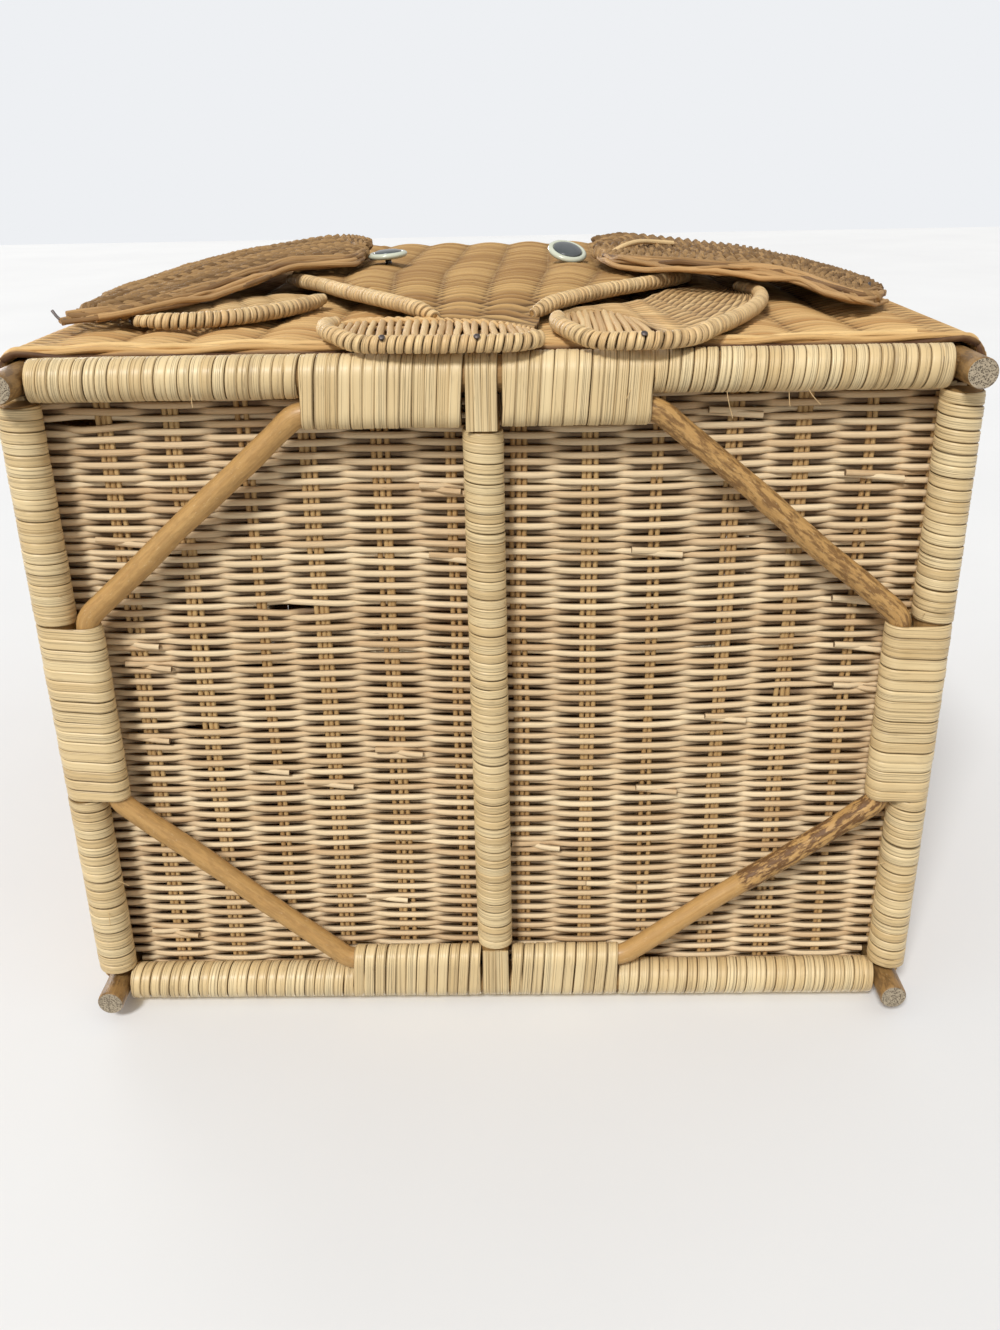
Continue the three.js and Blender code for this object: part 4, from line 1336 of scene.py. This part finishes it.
def rims():
    nodes = {"head_rim_left": HEAD_RIM_LEFT, "head_rim_right": HEAD_RIM_RIGHT, "trunk_rim": TRUNK_RIM,
             "foot_rim_left": FOOT_RIM_LEFT, "foot_rim_right": FOOT_RIM_RIGHT}
    ring = round_outline("rim_ring", RIM_RADIUS, math.pi)
    tapers = ((16, 12), (16, 12), (14, 3), (14, 14), (12, 60))
    axes = []
    for points, (first, last) in zip(nodes.values(), tapers):
        line = smoothed(before_wall(points, 8), 2)
        run = distance_along(line)
        size = 0.55 + 0.45 * np.clip(run / first, 0, 1) * np.clip((run[-1] - run) / last, 0, 1)
        axes.append((line, (0, -1, 0), size))
    piece = wound("figure_rims", axes, ring, RIM_PITCH, RIM_THICKNESS, RIM, steps=14, scatter=0.3, seed=71,
                  core=1.4, section=bead_section)
    settle(piece, "basket", "figure", *nodes)


rims()


def across_at(outline, height):
    """Where an outline crosses a height."""
    outline = np.asarray(outline, float)
    return np.interp(height, outline[:, 1], outline[:, 0])


def head():
    """The head and trunk, whose lower rows bow down to the trunk's end and whose crests rise to the face."""
    foot_height = 47
    top_height = 450
    strand_count = round((top_height - foot_height) / HEAD_PITCH)
    blend = 9
    left = [(-35, 57), (-31, 62), (-30.4, 70), (-53.5, 104), (-76.4, 142), (-94.4, 176),
            (-117.4, 210), (-127, 265), (-127, 325), (-119, 385), (-100, 432), (-66, 450)]
    right = [(20.5, 13), (21, 30), (24, 52), (25.5, 74), (38.5, 94), (55.6, 120.5), (78.8, 148), (110, 184),
             (120.5, 255), (119, 325), (111, 385), (92, 432), (58, 450)]
    left = smoothed(left, 2)
    right = smoothed(right, 2)
    arch = np.array([(-35, 57), (-24, 52.5), (-13, 47), (-1, 44), (8, 36), (14, 27), (20.5, 13)])
    chord = np.interp(arch[:, 0], [-35, 20.5], [57, 13])
    levels = [40, 50, 60, 75, 90, 110, 140, 180, 220, 260, 287]
    crests = [3.4, 3.9, 5.0, 7.5, 9.5, 11.2, 12.3, 12.6, 12.2, 11, FLAT_CREST]

    def skin(lays, columns, front):
        share = np.linspace(0, 1, columns + 1)
        heights = foot_height + HEAD_PITCH * lays
        top = foot_height + HEAD_PITCH * blend
        rows = []
        for lay, height in zip(lays, heights):
            if lay >= blend:
                start = (across_at(left, height), height)
                end = (across_at(right, height), height)
                bow = 0
            else:
                part = lay / blend
                start = neck_point(left, part, top)
                end = neck_point(right, part, top)
                bow = (1 - part) ** 1.1
            x = start[0] + (end[0] - start[0]) * share
            y = start[1] + (end[1] - start[1]) * share
            lift = np.interp(x, arch[:, 0], arch[:, 1] - chord)
            rows.append(np.column_stack([x, y + bow * lift]))
        flat = np.array(rows)
        x = flat[:, :, 0]
        y = flat[:, :, 1]
        open_face = np.clip(np.minimum(x + 92, 66 - x) / 22, 0, 1)
        crest = np.interp(y, levels, crests)
        crest = np.minimum(crest, FLAT_CREST) + np.maximum(crest - FLAT_CREST, 0) * open_face
        swing = np.clip((crest - 2.6) / 2.2, 0.5, 2.3)
        clear = crest - swing - 0.5 - (0 if front else 2.4)
        points = grid_before_wall(x, y, clear)
        middle = -3 + (y - 50) * 0.03
        spread = 1 + np.clip(y - 50, 0, 170) * 0.0024
        edge_x = np.clip(np.minimum(share, 1 - share) * (x[:, -1] - x[:, 0])[:, None] / 4, 0, 1)
        fade = 0.25 + 0.75 * edge_x * np.clip((strand_count - lays) / 2, 0, 1)[:, None]
        stake = 0.5 + (x - middle) / (21.5 * spread)
        return spread_skin(points, FORWARD, UP, run=x + 130, stake=stake, lay=lays[:, None], edge=fade,
                           swing=swing)

    outer = skin(strand_rows(strand_count, 5), 124, True)
    inner = skin(strand_rows(strand_count, 1), 42, False)
    piece = woven("head_weave", outer, inner, FIGURE, HEAD_PITCH, seed=81)
    settle(piece, "basket", "figure", "head_panel")


def neck_point(outline, part, top):
    """A point on the part of an outline below a height, by how far along that part it is."""
    below = outline[outline[:, 1] <= top]
    steps = distance_along(below)
    return between_points([part * steps[-1]], steps, below)[0]


def along_line(line, count):
    """A line as that many points, evenly apart."""
    line = smoothed(line, 0.5)
    return between_points(np.linspace(0, len(line) - 1, count), np.arange(len(line)), line)


def foot(name, outer_line, inner_line, strand_count, columns, seed):
    """A foot is woven along its rim, with bare spokes left between part of the rim and the weave."""
    def skin(lays, across, front):
        outer = along_line(outer_line, across + 1)
        inner = along_line(inner_line, across + 1)
        share = (lays / lays[-1])[:, None, None]
        flat = outer[None] + (inner - outer)[None] * share
        x = flat[:, :, 0]
        y = flat[:, :, 1]
        clear = 2.6 + 1.6 * share[:, :, 0] + (0 if front else -2.0)
        points = grid_before_wall(x, y, clear)
        middle = (outer + inner) / 2
        run = distance_along(middle)
        width = np.linalg.norm(inner - outer, axis=1)
        across_way = (inner - outer) / np.maximum(width, 1)[:, None]
        across_way = np.column_stack([across_way[:, 0], np.zeros(len(width)), across_way[:, 1]])
        across_way = across_way * np.clip(width / (FOOT_PITCH * lays[-1]), 0.1, 1.2)[:, None]
        ends = np.clip(np.minimum(run, run[-1] - run) / 6, 0, 1)
        edge = np.clip(width / (FOOT_PITCH * lays[-1]), 0.3, 1) * (0.3 + 0.7 * ends)
        top = 0.3 + 0.7 * np.clip((lays[-1] - lays) / 2, 0, 1)
        heading = np.gradient(middle, axis=0)
        level = np.abs(heading[:, 0]) / np.maximum(np.linalg.norm(heading, axis=1), 0.01)
        swing = 0.25 + 1.15 * level
        return spread_skin(points, FORWARD, across_way, run=run, stake=run / 20, lay=lays[:, None],
                           edge=edge * top[:, None], swing=swing)

    outer = skin(strand_rows(strand_count, 5), columns, True)
    inner = skin(strand_rows(strand_count, 1), columns // 3, False)
    piece = woven(name + "_weave", outer, inner, FOOT, FOOT_PITCH, seed=seed)
    settle(piece, "basket", "figure", "foot_panel_" + name.split("_")[1])


FOOT_PITCH = 2.9


def feet():
    foot("foot_left", [(-176, 76), (-168, 92), (-155, 100), (-142, 96), (-137, 82), (-132, 67), (-124, 70),
                       (-114, 83), (-103, 104), (-95, 130), (-93, 145)],
         [(-179, 82), (-172, 98), (-164, 110), (-154, 126), (-144, 142), (-133, 155), (-122, 164),
          (-112, 167), (-104, 162), (-98, 154)], 25, 84, 83)
    foot("foot_right", [(36, 62), (45, 74), (53, 78), (61, 68), (67, 50), (73, 24), (80, -4), (89, 0),
                        (99, 11), (110, 32), (125, 69), (136, 106), (140, 140), (135, 165)],
         [(36, 72), (45, 88), (57, 96), (70, 102), (79, 116), (88, 138), (100, 160), (128, 176)], 30, 120, 85)


head()
feet()


def spokes():
    """Bare spokes fan out from the weave to the rim, at the trunk's end and at the feet."""
    fans = [
        ([(-68, 50), (-59, 56), (-47, 56), (-35, 54), (-24, 53), (-13, 47), (-1, 44), (11, 32), (20, 15)],
         [(-66, 16), (-56, 2), (-43, -4), (-32, -7), (-21, -8), (-10, -9), (1, -9), (13, -8),
          (23, -2)], 24, 1.65),
        ([(38, 68), (45, 78), (53, 81), (61, 72), (67, 52)],
         [(37, 32), (44, 16), (51, 4), (60, -5), (72, -8)], 11, 1.6),
        ([(-175, 80), (-168, 94), (-155, 102), (-142, 97), (-136, 80)],
         [(-170, 65), (-161, 63), (-152, 62), (-142, 64), (-132, 68)], 10, 1.45),
    ]
    lines = []
    for tops, ends, count, radius in fans:
        number = np.linspace(0, len(tops) - 1, count)
        tops, ends = (between_points(number, np.arange(len(side)), np.array(side, float))
                      for side in (tops, ends))
        for top, end in zip(tops, ends):
            reach = end - top
            line = np.array([top - reach * 0.1, top + reach * 0.3, top + reach * 0.7, end])
            line[1:3] += chance.normal(0, 0.3, (2, 2))
            flat = np.column_stack([line, [0.5, 1.1, 1.2, 1.0]])
            points = smoothed(before_wall(flat, 2 * radius), 4)
            lines.append(reed(points, radius + chance.normal(0, 0.1)))
    strand_piece("figure_spokes", lines, 9, SPOKE, "figure")


def fan_band():
    """The reeds twined across the tops of the trunk's spokes."""
    tops = [(-72, 38), (-66, 50), (-57, 56), (-46, 56.5), (-35, 55.5), (-24, 54), (-13, 48), (-1, 45),
            (12, 32), (21, 14)]
    lines = []
    for row, (lift, first, last) in enumerate(((0.0, 0, 10), (2.6, 1, 8), (5.0, 1, 6))):
        route = np.array([(x, height + lift, 2.6) for x, height in tops[first:last]])
        twined(lines, smoothed(before_wall(route, 0), 0.9), 1.05, 9.2, 0.95, 0.9 * row)
    strand_piece("trunk_band", lines, 7, FOOT, "figure")


def twined(lines, route, radius, period, swing, phase):
    """Two strands twisted round each other along a route."""
    heading = np.gradient(route, axis=0)
    heading /= np.linalg.norm(heading, axis=1)[:, None]
    across = np.cross(heading, FORWARD)
    run = distance_along(route)
    for strand in (0, math.pi):
        turn = 2 * math.pi * run / period + phase + strand
        line = route + swing * (np.cos(turn)[:, None] * FORWARD + np.sin(turn)[:, None] * across)
        lines.append(reed(line, radius))


spokes()
fan_band()


EAR_LEFT = (
    [(-201, 52, 3), (-171, 71, 4.6), (-153, 95, 6), (-138, 126, 8), (-125, 156, 11), (-115, 180, 13),
     (-98, 199, 13.3), (-83, 218, 13.6), (-81, 255, 14)],
    [(-207, 64, 2.5), (-210, 112, 2.8), (-208, 160, 3.8), (-201, 214, 5.4), (-189, 264, 7.4),
     (-172, 312, 10.2), (-147, 350, 13), (-114, 372, 16.5), (-85, 330, 17)],
)
EAR_RIGHT = (
    [(199, 96, 3), (178, 66, 4.5), (167, 86, 6), (158, 114, 8.6), (141, 129, 11), (108, 132, 13),
     (86, 154, 13.2), (68, 182, 13.5), (63, 236, 14)],
    [(204, 108, 2.4), (205, 142, 2.6), (201, 178, 3.4), (194, 218, 4.8), (181, 266, 6.6), (159, 308, 9.4),
     (128, 334, 12), (94, 346, 15.8), (66, 314, 17)],
)


def ear(name, border_line, edge_line):
    """Parallel rods along the lower border, and twined rows between them and the upper edge."""
    count = 260
    border_line = along_line(before_wall(border_line, 5), count)
    edge_line = along_line(before_wall(edge_line, 5), count)
    width = np.linalg.norm(edge_line - border_line, axis=1)
    at = np.linspace(0, 1, count)
    rods = []
    twists = []
    rod_gap = 3.0
    rod_rows = 9
    rod_width = 17
    row_gap = 7.0
    widest = width.max()
    rows = int((widest - rod_width) / row_gap)
    for k in range(rod_rows):
        share = np.minimum((k // 2 + 0.3) * rod_gap / np.maximum(width, 8), 0.12 + 0.06 * k)
        line = border_line + (edge_line - border_line) * share[:, None]
        line += FORWARD * (-1.1 + 0.5 * k + 1.2 * np.sin(np.pi * at) + wander(count, 0.9, 22))[:, None]
        line[:, 0] += wander(count, 0.6, 24)
        line[:, 2] += wander(count, 1.5, 20)
        part = line[int(20 * chance.random()):count - int(46 * chance.random())]
        rods.append(reed(part[::3], 1.25 + chance.normal(0, 0.2)))
    for k in range(rows + 1):
        share = (rod_width + k * (widest - rod_width - 2) / rows) / widest
        room = width * (widest - rod_width) / widest / rows
        wanted = room > (2.2 if k % 3 == 0 else 3.4 if k % 3 == 1 else 3.9)
        route = border_line + (edge_line - border_line) * share
        bulge = 0.4 + math.sin(math.pi * min(share, 0.999))
        lift = 2.4 * np.sin(np.pi * at) * bulge + wander(count, 0.5, 18)
        route = route + FORWARD * lift[:, None]
        route[:, 2] += wander(count, 0.5, 20)
        first = int(np.argmax(wanted))
        last = count - int(np.argmax(wanted[::-1]))
        if last - first > 30:
            twined(twists, route[first:last], 1.75, 13, 1.9, 2.1 * k)
    for k in range(12, count - 6, 6):
        begin = border_line[k] + (edge_line[k] - border_line[k]) * 0.12
        end = edge_line[k] + (edge_line[k] - border_line[k]) / width[k] * 2.4 * chance.random()
        line = np.linspace(begin, end, 10)
        line += FORWARD * (3.2 * math.sin(math.pi * at[k]) * np.sin(np.linspace(0.3, math.pi, 10)))[:, None]
        twists.append(reed(line, 1.3))
    strand_piece(name + "_twine", twists, 5, EAR, "ear", name)
    strand_piece(name + "_border", rods, 7, EAR_ROD, "ear")


ear("ear_left", *EAR_LEFT)
ear("ear_right", *EAR_RIGHT)


# Eyes, nails and wires

def lathe(name, profile, sides_round, place):
    """A profile of (radius, height) turned round an axis that starts at a place, tilted down and aside."""
    start, tilt, aside = place
    lean = math.radians(tilt)
    yaw = math.radians(aside)
    axis = np.array([math.sin(yaw) * math.cos(lean), -math.cos(yaw) * math.cos(lean), -math.sin(lean)])
    side = np.array([math.cos(yaw), math.sin(yaw), 0.0])
    third = np.cross(axis, side)
    points = []
    faces = []
    rows = []
    for radius, height in profile:
        rows.append(len(points))
        if radius == 0:
            points.append(np.array(start) + axis * height)
        else:
            for angle in np.linspace(0, 2 * math.pi, sides_round, endpoint=False):
                spread = math.cos(angle) * side + math.sin(angle) * third
                points.append(np.array(start) + axis * height + spread * radius)
    radii = [radius for radius, _ in profile]
    for low, high, low_radius, high_radius in zip(rows, rows[1:], radii, radii[1:]):
        for k in range(sides_round):
            n = (k + 1) % sides_round
            if low_radius == 0:
                faces.append((low, high + n, high + k))
            elif high_radius == 0:
                faces.append((low + k, low + n, high))
            else:
                faces.append((low + k, low + n, high + n, high + k))
    made = new_object(name, points, faces=faces)
    made.data.polygons.foreach_set("use_smooth", [True] * len(made.data.polygons))
    return made


def turned_piece(name, profile, sides_round, place, finish, slot, *nodes):
    """A turned piece of the basket, with its finish."""
    piece = lathe(name, profile, sides_round, place)
    piece.data.materials.append(finish)
    settle(piece, "basket", slot, *nodes)




def eyes():
    """Two moulded eyes, each a ring with a domed pupil on a stem, and each with its own lean."""
    ring = [(0, 3.2), (9.6, 3.25), (11.6, 3.7), (12.5, 5.0), (12.3, 6.0), (11.5, 6.75), (10.6, 7.05),
            (9.9, 7.0), (9.5, 6.7), (9.4, 6.45), (0, 6.4)]
    dome = [(0, 6.5), (9.2, 6.5), (9.3, 6.9), (8.4, 7.5), (6.2, 8.1), (3.2, 8.42), (0, 8.5)]
    stem = [(0, 0), (2.4, 0), (2.2, 0.6), (1.9, 1.4), (2.1, 2.6), (3.2, 3.1), (0, 3.15)]
    for name, x, tilt, aside in (("left", -67, 2, -4), ("right", 45, 22, 13)):
        slack = 2 * math.sin(math.radians(tilt))
        place = ((x, wall_face - 5.2 - 5.5 - 0.3 - slack, 287), tilt, aside)
        turned_piece(f"eye_{name}_ring", ring, 40, place, EYE, "eye_white", f"eye_{name}")
        turned_piece(f"eye_{name}_pupil", dome, 40, place, PUPIL, "pupil", f"pupil_{name}")
        turned_piece(f"eye_{name}_stem", stem, 20, place, STEM, "pupil")


def nails_and_wires():
    """Nail heads on the rims, the bent wires at the tips of the ears, and a loose reed on the right ear."""
    tilt = 38
    out = 4.0 * math.cos(math.radians(tilt))
    down = 4.0 * math.sin(math.radians(tilt))
    profile = [(0, -1.2), (0.8, -1.2), (0.8, 0), (1.4, 0.1), (1.45, 0.4), (1.0, 0.75), (0, 0.85)]
    for number, (x, height) in enumerate(((-43.5, -10.5), (-3.5, -12), (66.4, -12))):
        start = (x, rail_face - 4.7 - out, rail_height + height - down)
        turned_piece(f"nail_{number + 1}", profile, 16, (start, tilt, 0), STEEL, "steel")
    wires = [[(-196, 57, 5.5), (-201, 56, 6), (-204, 56, 7), (-207, 57, 10.5)],
             [(193, 108, 11), (191, 102, 7), (189, 98, 3)]]
    lines = [(smoothed(before_wall(wire, 0), 0.7), {"thick": 0.75 * MM, "tone": 0.5}) for wire in wires]
    strand_piece("ear_wires", lines, 8, STEEL, "steel")
    loose = [(70, 224, 18), (78, 231, 21.5), (88, 243, 23), (99, 255, 22), (112, 262, 20.5)]
    lines = [(smoothed(before_wall(loose, 0), 2), {"thick": 1.5 * MM, "tone": 0.9})]
    strand_piece("loose_reed", lines, 8, SPOKE, "ear")


def stray_fibres():
    """Thin fibres that have come loose from the windings of the bottom rails."""
    roots = {
        "front": ((-128, 40, 5), (62, 30, 6), (104, 62, 8), (131, 68, 9), (139, 55, 5)),
        "right": ((88, 60, 7), (-50, 40, 5)),
        "back": ((-90, 50, 6),),
        "left": ((-112, 20, 7), (-96, 70, 8), (64, 45, 5)),
    }
    lines = []
    for name, fibres in roots.items():
        for along, degrees, length in fibres:
            turn = math.radians(degrees)
            outward = np.array([0.0, math.sin(turn), -math.cos(turn)])
            root = np.array([along, 0.0, rail_height]) + outward * (rail_radius - 0.6)
            share = np.linspace(0, 1, 9)[:, None]
            line = root + outward * length * share + chance.normal(0, 0.45, 3) * length * share ** 2
            lines.append((on_side(name, line), {"thick": 0.18 * MM, "tone": 0.8}))
    strand_piece("stray_fibres", lines, 5, SPOKE, "binding")


eyes()
nails_and_wires()
stray_fibres()


# What the basket stands on, and the light

def stage_plane(name, corners):
    """A pale plane that shows only from its front and lets light through."""
    made = new_object(name, np.array(corners) / MM, faces=[(0, 1, 2, 3)])
    finish = Finish(name, Roughness=0.9, Specular_IOR_Level=0.1)
    grain = finish.noise(finish.place(), 3.0, 4.0)
    finish.set("Base Color", finish.mix(grain, (226, 226, 226), (236, 236, 235)))
    path = finish.node("ShaderNodeLightPath")
    seen = finish.maths("MAXIMUM", path.beside("Is Camera Ray"), path.beside("Is Glossy Ray"))
    seen = finish.maths("MAXIMUM", seen, path.beside("Is Transmission Ray"))
    front = 1 - finish.node("ShaderNodeNewGeometry", output="Backfacing")
    clear = finish.tree.nodes.new("ShaderNodeBsdfTransparent")
    mixed = finish.tree.nodes.new("ShaderNodeMixShader")
    finish.tree.links.new((seen * front).socket, mixed.inputs[0])
    finish.tree.links.new(clear.outputs[0], mixed.inputs[1])
    finish.tree.links.new(finish.shader.outputs[0], mixed.inputs[2])
    finish.tree.links.new(mixed.outputs[0], finish.end.inputs[0])
    made.data.materials.append(finish.material)
    return made


def stage():
    far = 6.0
    back = cad_box[1][1] + 0.0005
    stage_plane("floor", [(-far, -far, 0), (far, -far, 0), (far, far, 0), (-far, far, 0)])
    stage_plane("table", [(-far, back, -far), (far, back, -far), (far, back, far), (-far, back, far)])


def lamp(name, direction, strength, angle):
    light = bpy.data.lights.new(name, "SUN")
    light.energy = strength
    light.angle = math.radians(angle)
    made = bpy.data.objects.new(name, light)
    made.rotation_euler = Vector(direction).to_track_quat("-Z", "Y").to_euler()
    scene.collection.objects.link(made)


def light():
    world = bpy.data.worlds.new("soft_room")
    scene.world = world
    world.use_nodes = True
    graph = Graph(world.node_tree)
    world.node_tree.nodes.clear()
    path = graph.node("ShaderNodeLightPath")
    seen = graph.maths("MAXIMUM", path.beside("Is Camera Ray"), path.beside("Is Transmission Ray"))
    shown = graph.node("ShaderNodeBackground", values={"Color": colour(238, 240, 243), "Strength": 1.0})
    soft = graph.node("ShaderNodeBackground", values={"Color": (1, 1, 1, 1), "Strength": 0.56})
    mixed = graph.node("ShaderNodeMixShader", values={0: seen, 1: soft, 2: shown})
    graph.node("ShaderNodeOutputWorld", values={0: mixed}, output=None)
    lamp("key", (0.25, 0.7, 0.67), 2.45, 12)
    lamp("overhead", (0.5, 0.1, -0.85), 1.2, 30)
    lamp("back_fill", (-0.3, -0.8, -0.35), 0.8, 40)


stage()
light()
